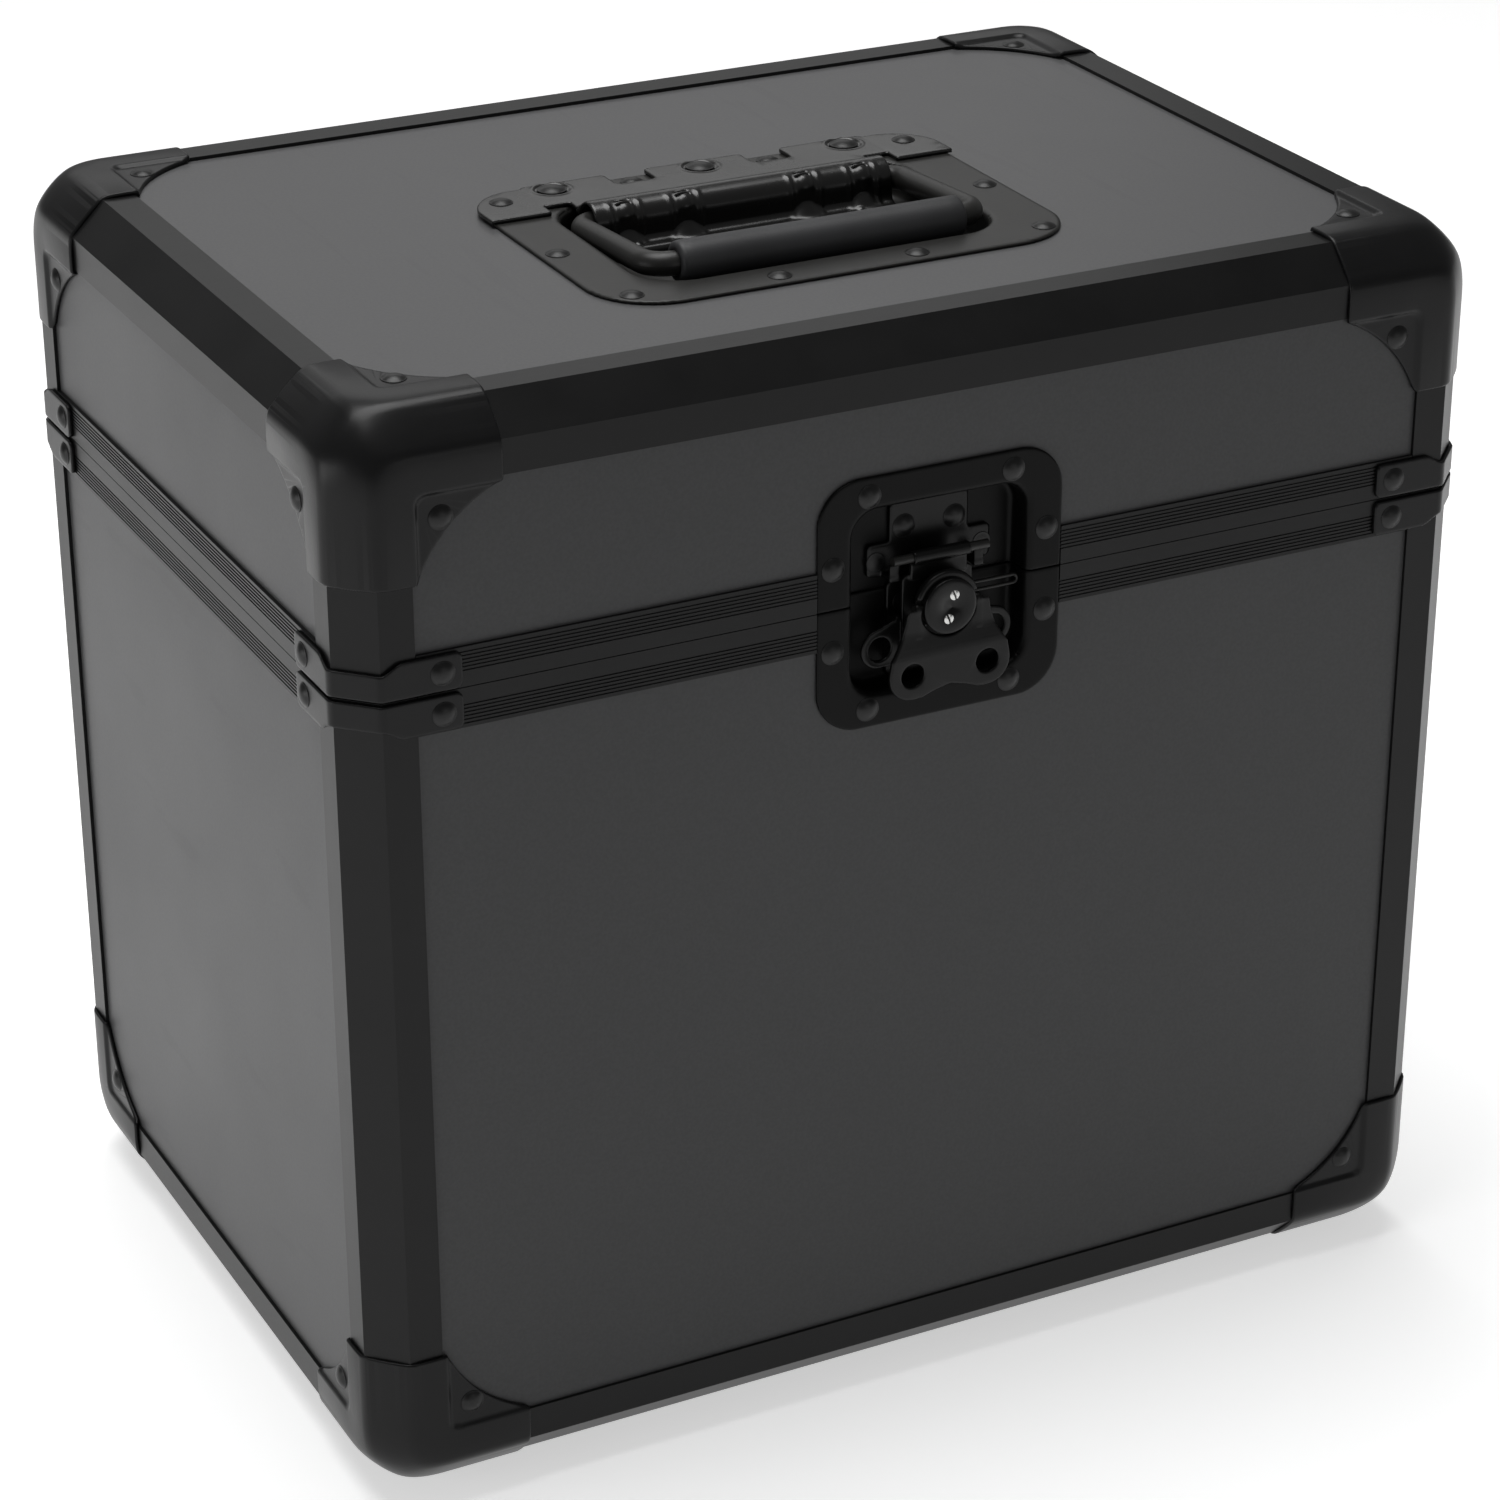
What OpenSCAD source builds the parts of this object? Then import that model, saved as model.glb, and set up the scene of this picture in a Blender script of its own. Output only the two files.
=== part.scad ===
// Record carrying case: a plywood box in metal edge profiles, with steel ball corners,
// a hinged lid, a recessed spring handle and a recessed padlockable turn latch.
// X is the width, Y the depth (front at -Y), Z up. Z = 0 is the underside of the feet.

/* [Box] */
// Width over the edge profiles
case_w = 400; // [360:5:480]
// Depth over the edge profiles, front to back
case_d = 282; // [250:1:340]
// Height of the base, from its lower edge profile to the joint
base_h = 284; // [200:1:345]
// Height of the lid, from the joint to the top edge profile
lid_h = 88; // [73:1:110]
// Thickness of the plywood panels
panel_t = 7; // [5.8:0.2:8.4]
// Height of the feet below the edge profiles
foot_h = 6; // [4:0.5:12]
// Gap between base and lid at the joint
seam_gap = 0.3; // [0.2:0.1:0.8]

/* [Edge profiles] */
// Width of a profile's face on each side of an edge
leg = 22.5; // [21:0.5:26]
// Width that the chamfer takes from each face
chamfer = 11.25; // [9:0.25:12]
// Thickness of the profile's outer skin, which stands over the panel
skin_t = 1.2; // [1:0.1:1.4]
// Thickness of the profile's inner legs
inner_t = 1.2; // [1:0.1:1.5]
// Clearance between a panel and its channel
channel_fit = 0.1; // [0.05:0.05:0.3]

/* [Joint rims] */
// Height of each rim profile along the joint
rim_h = 13; // [12:0.5:16]
// Thickness of the base rim's web over the panel edge
base_web = 2.5; // [2:0.1:4]
// Thickness of the lid rim's web, which holds the groove
lid_web = 6.5; // [5.5:0.1:8]
// Height of the tongue on the base rim
tongue_h = 3.5; // [2.5:0.1:4]
// Width of the tongue at its foot
tongue_w = 2.6; // [2:0.1:3]
// Clearance around the tongue in its groove
tongue_fit = 0.35; // [0.25:0.05:0.5]
// Number of fine grooves along each rim face
rib_count = 6; // [3:1:7]
// Distance between those grooves
rib_pitch = 1.2; // [1:0.1:1.4]
// Depth of those grooves
rib_depth = 0.4; // [0.2:0.05:0.6]

/* [Corners and braces] */
// Thickness of the steel corners and braces
corner_t = 1.5; // [1.2:0.1:2]
// Length of a corner's arms along the edges
corner_arm = 52; // [46:1:58]
// Distance of the rounded corner's centre from each face
ball_inset = 26; // [25:0.5:29]
// Diagonal cut on the panels' corners, inside the steel corners
panel_clip = 17; // [16:0.5:20]
// Distance of a corner's rivets from both edges
corner_rivet = 32; // [30:0.5:34]
// Reach of a joint brace along each face from the case corner
brace_reach = 37; // [35:0.5:42]
// Height of a joint brace
brace_h = 12; // [10:0.5:12.5]
// Distance of a brace rivet from the case corner
brace_rivet = 30.5; // [29:0.5:32]

/* [Rivets] */
// Radius of a rivet's domed head
head_r = 4; // [3:0.1:4.4]
// Height of that head
head_h = 1.7; // [1:0.1:2]
// Radius of a rivet's shank
shank_r = 2; // [1.5:0.1:2.4]
// Clearance around a shank
shank_fit = 0.05; // [0.02:0.01:0.2]
// Radius of a rivet's clenched tail inside the case
tail_r = 3; // [2.6:0.1:4]
// Height of that tail
tail_h = 0.8; // [0.5:0.1:1.5]

/* [Latch dish] */
// Width of the latch's flange
dish_w = 87; // [80:1:96]
// Height of the latch's flange, both halves together
dish_h = 84.6; // [80:1:96]
// Radius of the flange's corners
dish_r = 15; // [10:1:20]
// Width and height of the opening in the flange
dish_open = 62; // [60:1:66]
// Radius of the opening's corners
dish_open_r = 9; // [6:1:12]
// Depth of the dish's floor behind the flange's face
dish_depth = 9.5; // [9:0.1:12]
// Thickness of the dish's sheet
dish_t = 1.2; // [1:0.1:1.2]

/* [Latch mechanism] */
// Height of the spindle's axis below the joint
hub_drop = 3; // [2:0.5:4]
// Travel of the draw plate between free and tight
draw_travel = 4.4; // [3.6:0.2:4.6]
// Radius of the eccentric cam
cam_r = 4.5; // [4:0.1:5]
// Radius of the hub in front of the draw plate
hub_r = 8.5; // [7.5:0.1:9]
// Radius of the disc on the hub's front
cap_r = 9.3; // [8.5:0.1:9.6]
// Reach of the disc in front of the profiles' face
cap_front = 7.6; // [7:0.1:9]
// Running clearance around journals and hinge pins
run_fit = 0.05; // [0.03:0.01:0.1]
// Width of the draw plate
draw_w = 25; // [23:0.5:26]
// Radius of the cross bar that hooks over the keeper
bar_r = 1.5; // [1.2:0.1:1.8]
// Length of that cross bar
bar_l = 34; // [32:1:36]
// Half distance between the holes in the wing's two lobes
lobe_x = 13.4; // [12:0.2:15]
// Radius of the wing's lobes
lobe_r = 8.2; // [7:0.1:9]
// Radius of the padlock holes in the wing and in the plate behind it
eye_r = 4; // [3:0.1:4.4]

/* [Handle] */
// Width of the handle's flange
pull_w = 168; // [160:1:180]
// Depth of the handle's flange, front to back
pull_d = 118; // [112:1:126]
// Radius of the flange's corners
pull_r = 24; // [15:1:30]
// Distance from the pivot to the flange's front edge
pull_front = 85; // [82:1:90]
// Width of the handle's recess
pull_open = 127; // [126:1:132]
// Depth of the recess below the flange's face
pull_depth = 12; // [10:0.5:16]
// Radius of the steel rod of the bail
rod_r = 4; // [3.5:0.1:4.5]
// Half distance between the bail's arms
arm_x = 59; // [58:0.5:60]
// Distance from the pivot to the grip
arm_l = 58; // [54:0.5:59]
// Radius of the rod's bends
bend_r = 8; // [7:0.5:9]
// Radius of the rubber grip
grip_r = 7; // [6:0.1:8]
// Length of the rubber grip
grip_l = 102; // [80:1:102]
// Outer radius of the rolled cover over the pivot
roll_r = 8.2; // [8.1:0.1:8.8]
// Half length of the rolled cover
roll_x = 54.5; // [53.5:0.5:54.5]

/* [Hinges] */
// Distance of each hinge from the middle of the case
hinge_x = 105; // [60:1:120]
// Length of a hinge
hinge_l = 60; // [50:1:80]
// Outer radius of a hinge's knuckles
knuckle_r = 4; // [3.5:0.1:4.8]
// Radius of a hinge's pin
hinge_pin_r = 1.75; // [1.5:0.05:2]
// Height of each hinge leaf from the joint
leaf_h = 34; // [30:1:38]

/* [Feet and pads] */
// Radius of a rubber foot
foot_r = 14; // [10:0.5:18]
// Distance of a foot's centre from the sides
foot_inset = 52; // [50:1:60]
// Thickness of the foam pads
pad_t = 6; // [4:1:12]

/* [Hidden] */
$fn = 48;

// A little more than a cut's own depth, so that cuts run clear of faces
over = 1;
// A length that reaches past the whole case
far = 600;
half_w = case_w / 2;
half_d = case_d / 2;
base_z = foot_h;
seam_z = base_z + base_h;
lid_z = seam_z + seam_gap;
top_z = seam_z + lid_h;

// Profiles: faces of the inner leg, end of the channel behind the chamfer, and where the
// panels stand in it
inner_u = skin_t + panel_t + 2 * channel_fit;
inside_u = inner_u + inner_t;
chamfer_wall = inner_t * sqrt(2);
channel_end = chamfer + chamfer_wall - skin_t;
panel_end = channel_end + channel_fit;
panel_u = skin_t + channel_fit;
// A profile's cut end keeps this far from the case corner, clear of its neighbours
profile_end = leg + 0.3;
// The flat of a steel sheet lies on the panel, skin_t behind the profiles' face
web_u = skin_t - corner_t;
ball_spare = 0.2;
ball_r = ball_spare + norm([ball_inset + corner_t, ball_inset - chamfer + corner_t * (sqrt(2) - 1)]);

// Rivet grips: sheet and panel together
panel_grip = corner_t + channel_fit + panel_t;
rim_grip = corner_t + inside_u;
dish_grip = dish_t + channel_fit + panel_t;

// Rivets round the latch's flange, from its middle: near its ends and near its sides
dish_rivet_at = [[25.5, dish_h / 2 - 6.3], [dish_w / 2 - 5.4, 14]];

// Latch levels, measured outward from the profiles' face
hub_z = seam_z - hub_drop;
floor_n = -dish_depth;
plate_t = 1.5;
plate_n = floor_n + plate_t;
journal_r = 2.2;
tail_flange_r = 2.8;
tail_t = 1.1;
cam_gap = 0.2;
ecc = draw_travel / 2;
draw_t = 1.6;
draw_n = -3.6;
hub_back = -0.7;
cap_t = 2;
hub_front = cap_front - cap_t;
draw_pin_r = 1.5;
draw_pin_n = -4.2;
draw_pin_out = 0.5;
draw_eye_t = 1.1;
draw_eye_l = 5;
draw_pin_z = seam_z - 12;
draw_bar_z = seam_z + 12.5;
draw_bar_n = -0.4;
cam_clear = 0.85;
draw_roll_r = bar_r + 0.7;
draw_roll_l = 20;
draw_neck = 6;
cheek_x = draw_w / 2 + 0.8;
cheek_t = 1.5;
cheek_n = -1.5;
cheek_low = -21;
cheek_l = 17;
bed_low = -27;
bed_high = 5.5;
wing_n = 4;
wing_t = 2;
ear_t = 2;
ear_gap = 0.4;
wing_pin_r = 1.2;
wing_pin_n = 4.3;
ear_r = 1.9;
ear_drop = 9;
shoulder_drop = 2.6;
cheek_drop = 7;
cheek_in = 1.2;
lobe_drop = 21;
eye_x = 20.5;
eye_drop = 17;
eye_rim = 6.5;
eye_root = 11;
wire_r = 0.6;
wire_n = -4.6;
wire_drop = [2, 4.8];
wire_end = 28.9;
stud_r = 1.1;
stud_x = 13.6;
cap_pin_r = 2.8;
cap_pin_gap = 4;
cap_pin_tilt = 14;
cap_pin_in = 0.2;
cap_pin_out = 0.4;
keeper_t = 1.5;
keeper_w = 44;
keeper_h = 11;
keeper_stem_w = 28;
keeper_top = 29;
keeper_rivet = [9, 20.5];
keeper_side_rivet = [19, 10];
hook_in = draw_w / 2 + 0.7;
hook_out = bar_l / 2 - 0.2;
hook_lip_n = draw_bar_n - bar_r - 0.4;
hook_t = 1.5;
hook_lip_top = draw_bar_z - bar_r - 0.6;
hook_shelf_top = draw_bar_z - draw_travel - bar_r - 0.3;

// Handle levels
flange_z = top_z - skin_t + dish_t;
pivot_z = top_z - 2;
grip_z = top_z + 2;
cover_t = 1.5;
cover_front = 6.2;
cover_back = 34.5;
cover_ear_front = 7;
cover_ear_back = 33;
cover_corner_r = 18;
cover_past = 1.5;
notch_w = 14.5;
notch_deep = 10.8;
notch_x = 25.4;
skirt_gap = 0.4;
pull_y = -pull_front + pull_d / 2;
pull_open_front = 68;
pull_open_back = 14;
pull_open_r = 16;
bearer_r = 5.8;
bearer_l = 10;
bearer_x = [22, 43.5];
spring_wire_r = 0.7;
spring_r = 5.4;
spring_turns = 4;
spring_end_gap = 0.4;
pull_rivet_at = [
    [pull_w / 2 - 10.2, 11 - pull_front], [24.6, 6.5 - pull_front],
    [pull_w / 2 - 6, -28], [notch_x, 27.8]
];
ear_rivet_at = [pull_w / 2 - 9, 23];
big_rivet_at = [54.5, 28];
big_head_r = 5;
big_head_h = 1.8;

// Hinge axis
axis_y = half_d + knuckle_r;
axis_z = seam_z + seam_gap / 2;

black = [0.07, 0.07, 0.075];
profile_black = [0.1, 0.1, 0.1];
grey = [0.26, 0.26, 0.27];
steel = [0.75, 0.75, 0.75];
rubber = [0.05, 0.05, 0.05];
foam = [0.15, 0.15, 0.16];

// ---------------------------------------------------------------- placing

// Each of the four corners in plan, drawn once as the front left one
module each_corner(z, flip) {
    for (mx = [0, 1])
        for (my = [0, 1])
            corner_at(mx, my, z, flip)
                children();
}

module corner_at(mx, my, z, flip) {
    mirror([mx, 0, 0])
        mirror([0, my, 0])
            translate([-half_w, -half_d, z])
                mirror([0, 0, flip])
                    children();
}

// Draws its child with Z pointing out of the case's front, X to the right and Y up
module on_front(z) {
    translate([0, -half_d, z])
        rotate([90, 0, 0])
            children();
}

module rounded_2d(w, h, r) {
    square([w - 2 * r, h], center = true);
    square([w, h - 2 * r], center = true);
    for (sx = [-1, 1])
        for (sy = [-1, 1])
            translate([sx * (w / 2 - r), sy * (h / 2 - r)])
                circle(r);
}

// ---------------------------------------------------------------- rivets

// A domed rivet, its head on Z = 0 and its shank going down through the grip
module rivet(grip, r = head_r, h = head_h) {
    sphere_r = (r * r + h * h) / (2 * h);
    intersection() {
        translate([0, 0, h - sphere_r])
            sphere(sphere_r);
        cylinder(r = r + over, h = h + over);
    }
    translate([0, 0, -grip])
        cylinder(r = shank_r, h = grip);
    translate([0, 0, -grip - tail_h])
        cylinder(r = tail_r, h = tail_h);
}

module rivet_bore(grip) {
    translate([0, 0, -grip - tail_h - over])
        cylinder(r = shank_r + shank_fit, h = grip + tail_h + 2 * over);
}

module rivet_or_bore(grip, bore) {
    if (bore)
        rivet_bore(grip);
    else
        rivet(grip);
}

// One steel corner's three rivets, in the corner's own frame
module corner_rivets(bore) {
    translate([corner_rivet, corner_rivet, web_u])
        rotate([180, 0, 0])
            rivet_or_bore(panel_grip, bore);
    translate([corner_rivet, web_u, corner_rivet])
        rotate([90, 0, 0])
            rivet_or_bore(panel_grip, bore);
    translate([web_u, corner_rivet, corner_rivet])
        rotate([0, -90, 0])
            rivet_or_bore(panel_grip, bore);
}

// The rivets of one brace, at height z from the joint
module brace_rivets(z, bore) {
    translate([brace_rivet, -corner_t, z])
        rotate([90, 0, 0])
            rivet_or_bore(rim_grip, bore);
    translate([-corner_t, brace_rivet, z])
        rotate([0, -90, 0])
            rivet_or_bore(rim_grip, bore);
}

// The rivets around one half of the latch dish; side is -1 below the joint and 1 above
module dish_rivets(side, bore) {
    on_front(seam_z)
        translate([0, 0, dish_t - skin_t])
            for (sx = [-1, 1])
                for (at = dish_rivet_at)
                    translate([sx * at[0], side * at[1]])
                        rivet_or_bore(dish_grip, bore);
}

// The rivets that hold a hinge leaf; side is -1 below the joint and 1 above
module leaf_rivets(side, bore) {
    for (hx = [-hinge_x, hinge_x])
        for (sx = [-1, 1])
            translate([hx + sx * hinge_l / 3, half_d - web_u, axis_z + side * leaf_rivet])
                rotate([-90, 0, 0])
                    rivet_or_bore(panel_grip, bore);
}

module base_fixings(bore) {
    each_corner(base_z, 0)
        corner_rivets(bore);
    each_corner(seam_z, 0)
        brace_rivets(-rim_h / 2, bore);
    dish_rivets(-1, bore);
    leaf_rivets(-1, bore);
}

module lid_fixings(bore) {
    each_corner(top_z, 1)
        corner_rivets(bore);
    each_corner(lid_z, 0)
        brace_rivets(rim_h / 2, bore);
    dish_rivets(1, bore);
    leaf_rivets(1, bore);
    pull_rivets(bore);
}

// ---------------------------------------------------------------- profiles

// Section of an edge profile; the case's outer corner is at the origin
module edge_2d() {
    hollow = chamfer + chamfer_wall - inner_u;
    difference() {
        polygon([
            [0, leg], [0, chamfer], [chamfer, 0], [leg, 0],
            [leg, skin_t], [channel_end, skin_t], [channel_end, inner_u],
            [leg, inner_u], [leg, inside_u], [inside_u, inside_u],
            [inside_u, leg], [inner_u, leg], [inner_u, channel_end],
            [skin_t, channel_end], [skin_t, leg]
        ]);
        polygon([[inner_u, inner_u], [inner_u, hollow], [hollow, inner_u]]);
    }
}

// The four profiles round a flat face; Z = 0 is the face's outer plane
module edge_ring() {
    for (my = [0, 1])
        mirror([0, my, 0])
            translate([-half_w + profile_end, -half_d, 0])
                rotate([90, 0, 90])
                    linear_extrude(case_w - 2 * profile_end)
                        edge_2d();
    for (mx = [0, 1])
        mirror([mx, 0, 0])
            translate([-half_w, half_d - profile_end, 0])
                rotate([90, 0, 0])
                    linear_extrude(case_d - 2 * profile_end)
                        edge_2d();
}

module base_edge_profiles() {
    color(profile_black)
        translate([0, 0, base_z])
            edge_ring();
}

module lid_edge_profiles() {
    color(profile_black)
        translate([0, 0, top_z])
            mirror([0, 0, 1])
                edge_ring();
}

module base_post_profiles() {
    color(profile_black)
        each_corner(base_z + profile_end, 0)
            linear_extrude(base_h - profile_end)
                edge_2d();
}

module lid_post_profiles() {
    color(profile_black)
        each_corner(lid_z, 0)
            linear_extrude(top_z - lid_z - profile_end)
                edge_2d();
}

// ---------------------------------------------------------------- joint rims

// Distance of the tongue from the face, and its draft on either side
tongue_u = 4;
tongue_draft = 0.5;
// Outer face of a rim with its fine grooves, as cuts from height z upwards
module rib_cuts(z) {
    for (i = [0 : rib_count - 1])
        translate([-over, z + i * rib_pitch])
            square([over + rib_depth, rib_pitch / 2]);
}

module base_rim_2d() {
    difference() {
        union() {
            translate([0, -rim_h])
                square([skin_t, rim_h]);
            translate([0, -base_web])
                square([inside_u, base_web]);
            translate([inner_u, -rim_h])
                square([inner_t, rim_h]);
        }
        rib_cuts(-rim_h + rib_pitch);
    }
    polygon([
        [tongue_u, -over], [tongue_u + tongue_w, -over],
        [tongue_u + tongue_w, 0], [tongue_u + tongue_w - tongue_draft, tongue_h],
        [tongue_u + tongue_draft, tongue_h], [tongue_u, 0]
    ]);
}

module lid_rim_2d() {
    difference() {
        union() {
            square([skin_t, rim_h]);
            square([inside_u, lid_web]);
            translate([inner_u, 0])
                square([inner_t, rim_h]);
        }
        translate([tongue_u - tongue_fit, -over])
            square([tongue_w + 2 * tongue_fit, tongue_h + tongue_fit + over]);
        rib_cuts(rim_h - rib_count * rib_pitch - rib_pitch / 2);
    }
}

// Bars along the front or the back run between the corner posts
module rim_bar_x() {
    translate([-half_w + profile_end, -half_d, 0])
        rotate([90, 0, 90])
            linear_extrude(case_w - 2 * profile_end)
                children();
}

module rim_bar_y() {
    translate([-half_w, half_d - profile_end, 0])
        rotate([90, 0, 0])
            linear_extrude(case_d - 2 * profile_end)
                children();
}

// Room for the latch in the front rims: the whole width of its flange
module latch_rim_cut() {
    translate([-dish_w / 2 - channel_fit, -far / 2, seam_z - far / 2])
        cube([dish_w + 2 * channel_fit, far / 2, far]);
}

module base_rim_front() {
    color(profile_black)
        difference() {
            translate([0, 0, seam_z])
                rim_bar_x()
                    base_rim_2d();
            latch_rim_cut();
            base_fixings(true);
        }
}

module base_rim_back() {
    color(profile_black)
        difference() {
            mirror([0, 1, 0])
                translate([0, 0, seam_z])
                    rim_bar_x()
                        base_rim_2d();
            base_fixings(true);
        }
}

module base_rim_side(mx) {
    color(profile_black)
        difference() {
            mirror([mx, 0, 0])
                translate([0, 0, seam_z])
                    rim_bar_y()
                        base_rim_2d();
            base_fixings(true);
        }
}

module base_rim_left() {
    base_rim_side(0);
}

module base_rim_right() {
    base_rim_side(1);
}

module lid_rim_front() {
    color(profile_black)
        difference() {
            translate([0, 0, lid_z])
                rim_bar_x()
                    lid_rim_2d();
            latch_rim_cut();
            lid_fixings(true);
        }
}

module lid_rim_back() {
    color(profile_black)
        difference() {
            mirror([0, 1, 0])
                translate([0, 0, lid_z])
                    rim_bar_x()
                        lid_rim_2d();
            lid_fixings(true);
        }
}

module lid_rim_side(mx) {
    color(profile_black)
        difference() {
            mirror([mx, 0, 0])
                translate([0, 0, lid_z])
                    rim_bar_y()
                        lid_rim_2d();
            lid_fixings(true);
        }
}

module lid_rim_left() {
    lid_rim_side(0);
}

module lid_rim_right() {
    lid_rim_side(1);
}

// ---------------------------------------------------------------- panels

// A panel's outline with all four corners clipped
module clipped_2d(w, h) {
    x = w / 2;
    y = h / 2;
    k = panel_clip;
    polygon([
        [-x + k, -y], [x - k, -y], [x, -y + k], [x, y - k],
        [x - k, y], [-x + k, y], [-x, y - k], [-x, -y + k]
    ]);
}

// A side panel's outline, square at the joint (Y = 0) and clipped at its far end
module side_2d(w, h) {
    x = w / 2;
    k = panel_clip;
    polygon([[-x, 0], [x, 0], [x, h - k], [x - k, h], [-x + k, h], [-x, h - k]]);
}

base_panel_h = base_h - base_web - channel_fit - panel_end;
lid_panel_h = top_z - lid_z - lid_web - channel_fit - panel_end;

module base_side_panel(w) {
    translate([0, 0, seam_z - base_web - channel_fit])
        rotate([-90, 0, 0])
            linear_extrude(panel_t)
                side_2d(w - 2 * panel_end, base_panel_h);
}

module lid_side_panel(w) {
    translate([0, panel_t, lid_z + lid_web + channel_fit])
        rotate([90, 0, 0])
            linear_extrude(panel_t)
                side_2d(w - 2 * panel_end, lid_panel_h);
}

// The latch's opening through the front panels
module latch_panel_cut() {
    on_front(seam_z)
        translate([0, 0, -panel_u - panel_t - over])
            linear_extrude(panel_t + 2 * over)
                rounded_2d(dish_open + 2 * dish_t + 2 * channel_fit,
                    dish_open + 2 * dish_t + 2 * channel_fit,
                    dish_open_r + dish_t);
}

module base_front_panel() {
    color(grey)
        difference() {
            translate([0, -half_d + panel_u, 0])
                base_side_panel(case_w);
            latch_panel_cut();
            base_fixings(true);
        }
}

module base_back_panel() {
    color(grey)
        difference() {
            translate([0, half_d - panel_u - panel_t, 0])
                base_side_panel(case_w);
            base_fixings(true);
        }
}

module base_end_panel(mx) {
    color(grey)
        difference() {
            mirror([mx, 0, 0])
                translate([-half_w + panel_u + panel_t, 0, 0])
                    rotate([0, 0, 90])
                        base_side_panel(case_d);
            base_fixings(true);
        }
}

module base_left_panel() {
    base_end_panel(0);
}

module base_right_panel() {
    base_end_panel(1);
}

module base_floor_panel() {
    color(grey)
        difference() {
            translate([0, 0, base_z + panel_u])
                linear_extrude(panel_t)
                    clipped_2d(case_w - 2 * panel_end, case_d - 2 * panel_end);
            base_fixings(true);
            foot_screw_set(true);
        }
}

module lid_front_panel() {
    color(grey)
        difference() {
            translate([0, -half_d + panel_u, 0])
                lid_side_panel(case_w);
            latch_panel_cut();
            lid_fixings(true);
        }
}

module lid_back_panel() {
    color(grey)
        difference() {
            translate([0, half_d - panel_u - panel_t, 0])
                lid_side_panel(case_w);
            lid_fixings(true);
        }
}

module lid_end_panel(mx) {
    color(grey)
        difference() {
            mirror([mx, 0, 0])
                translate([-half_w + panel_u + panel_t, 0, 0])
                    rotate([0, 0, 90])
                        lid_side_panel(case_d);
            lid_fixings(true);
        }
}

module lid_left_panel() {
    lid_end_panel(0);
}

module lid_right_panel() {
    lid_end_panel(1);
}

module lid_top_panel() {
    color(grey)
        difference() {
            translate([0, 0, top_z - panel_u - panel_t])
                linear_extrude(panel_t)
                    difference() {
                        clipped_2d(case_w - 2 * panel_end, case_d - 2 * panel_end);
                        pull_open_2d(dish_t + channel_fit);
                    }
            lid_fixings(true);
            big_rivet_set(true);
        }
}

// ---------------------------------------------------------------- steel corners

// The rounded part of a corner as a solid, grown outward by g: an octant of a ball whose
// middle lies ball_inset from each face, cut off by the faces and by the chamfers
module ball_body(g, size) {
    cut = (chamfer - g * sqrt(2)) / sqrt(2);
    intersection() {
        translate([-g, -g, -g])
            cube(size + g);
        translate([ball_inset, ball_inset, ball_inset])
            sphere(r = ball_r - corner_t + g, $fn = 96);
        past_chamfer(cut, size);
        rotate([90, 0, 90])
            past_chamfer(cut, size);
        rotate([90, 0, 90])
            rotate([90, 0, 90])
                past_chamfer(cut, size);
    }
}

// What lies inside the chamfer plane of the edge along Z
module past_chamfer(cut, size) {
    rotate([0, 0, 45])
        translate([cut, -2 * size, -2 * size])
            cube(4 * size);
}

// The band that a corner's arm or a brace makes round a chamfered edge, out to reach
module band_2d(reach) {
    out = chamfer - corner_t * (sqrt(2) - 1);
    polygon([
        [reach, 0], [chamfer, 0], [0, chamfer], [0, reach],
        [-corner_t, reach], [-corner_t, out], [out, -corner_t],
        [reach, -corner_t]
    ]);
}

// A corner's flat web on the face Z = 0, between two arms, with a hollow free edge
web_arc = 70;
web_start = leg + corner_t;
module web_plate() {
    arc_r = sqrt(pow(web_arc - corner_arm, 2) + pow(web_arc - web_start, 2));
    translate([0, 0, web_u])
        linear_extrude(corner_t)
            difference() {
                translate([leg, leg])
                    square(corner_arm - leg);
                translate([web_arc, web_arc])
                    circle(arc_r);
            }
}

// Draws its child on each of the three faces that meet at a corner
module on_three_faces() {
    children();
    rotate([90, 0, 90])
        children();
    rotate([90, 0, 90])
        rotate([90, 0, 90])
            children();
}

module steel_corner() {
    color(black)
        difference() {
            union() {
                difference() {
                    ball_body(corner_t, ball_inset);
                    ball_body(0, ball_inset + over);
                    translate([web_start, web_start, -2 * leg])
                        cube(4 * leg);
                }
                on_three_faces() {
                    translate([0, 0, ball_inset])
                        linear_extrude(corner_arm - ball_inset)
                            band_2d(web_start);
                    web_plate();
                }
            }
            corner_rivets(true);
        }
}

module base_corner_front_left() {
    corner_at(0, 0, base_z, 0)
        steel_corner();
}

module base_corner_front_right() {
    corner_at(1, 0, base_z, 0)
        steel_corner();
}

module base_corner_back_left() {
    corner_at(0, 1, base_z, 0)
        steel_corner();
}

module base_corner_back_right() {
    corner_at(1, 1, base_z, 0)
        steel_corner();
}

module lid_corner_front_left() {
    corner_at(0, 0, top_z, 1)
        steel_corner();
}

module lid_corner_front_right() {
    corner_at(1, 0, top_z, 1)
        steel_corner();
}

module lid_corner_back_left() {
    corner_at(0, 1, top_z, 1)
        steel_corner();
}

module lid_corner_back_right() {
    corner_at(1, 1, top_z, 1)
        steel_corner();
}

// A bent strip round one corner at the joint, from z = 0 up
module brace() {
    linear_extrude(brace_h)
        band_2d(brace_reach);
}

module base_braces() {
    color(black)
        difference() {
            each_corner(seam_z - (rim_h + brace_h) / 2, 0)
                brace();
            base_fixings(true);
        }
}

module lid_braces() {
    color(black)
        difference() {
            each_corner(lid_z + (rim_h - brace_h) / 2, 0)
                brace();
            lid_fixings(true);
        }
}

module base_rivets() {
    color(black) {
        base_fixings(false);
        plate_rivet_set(false);
    }
}

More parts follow.
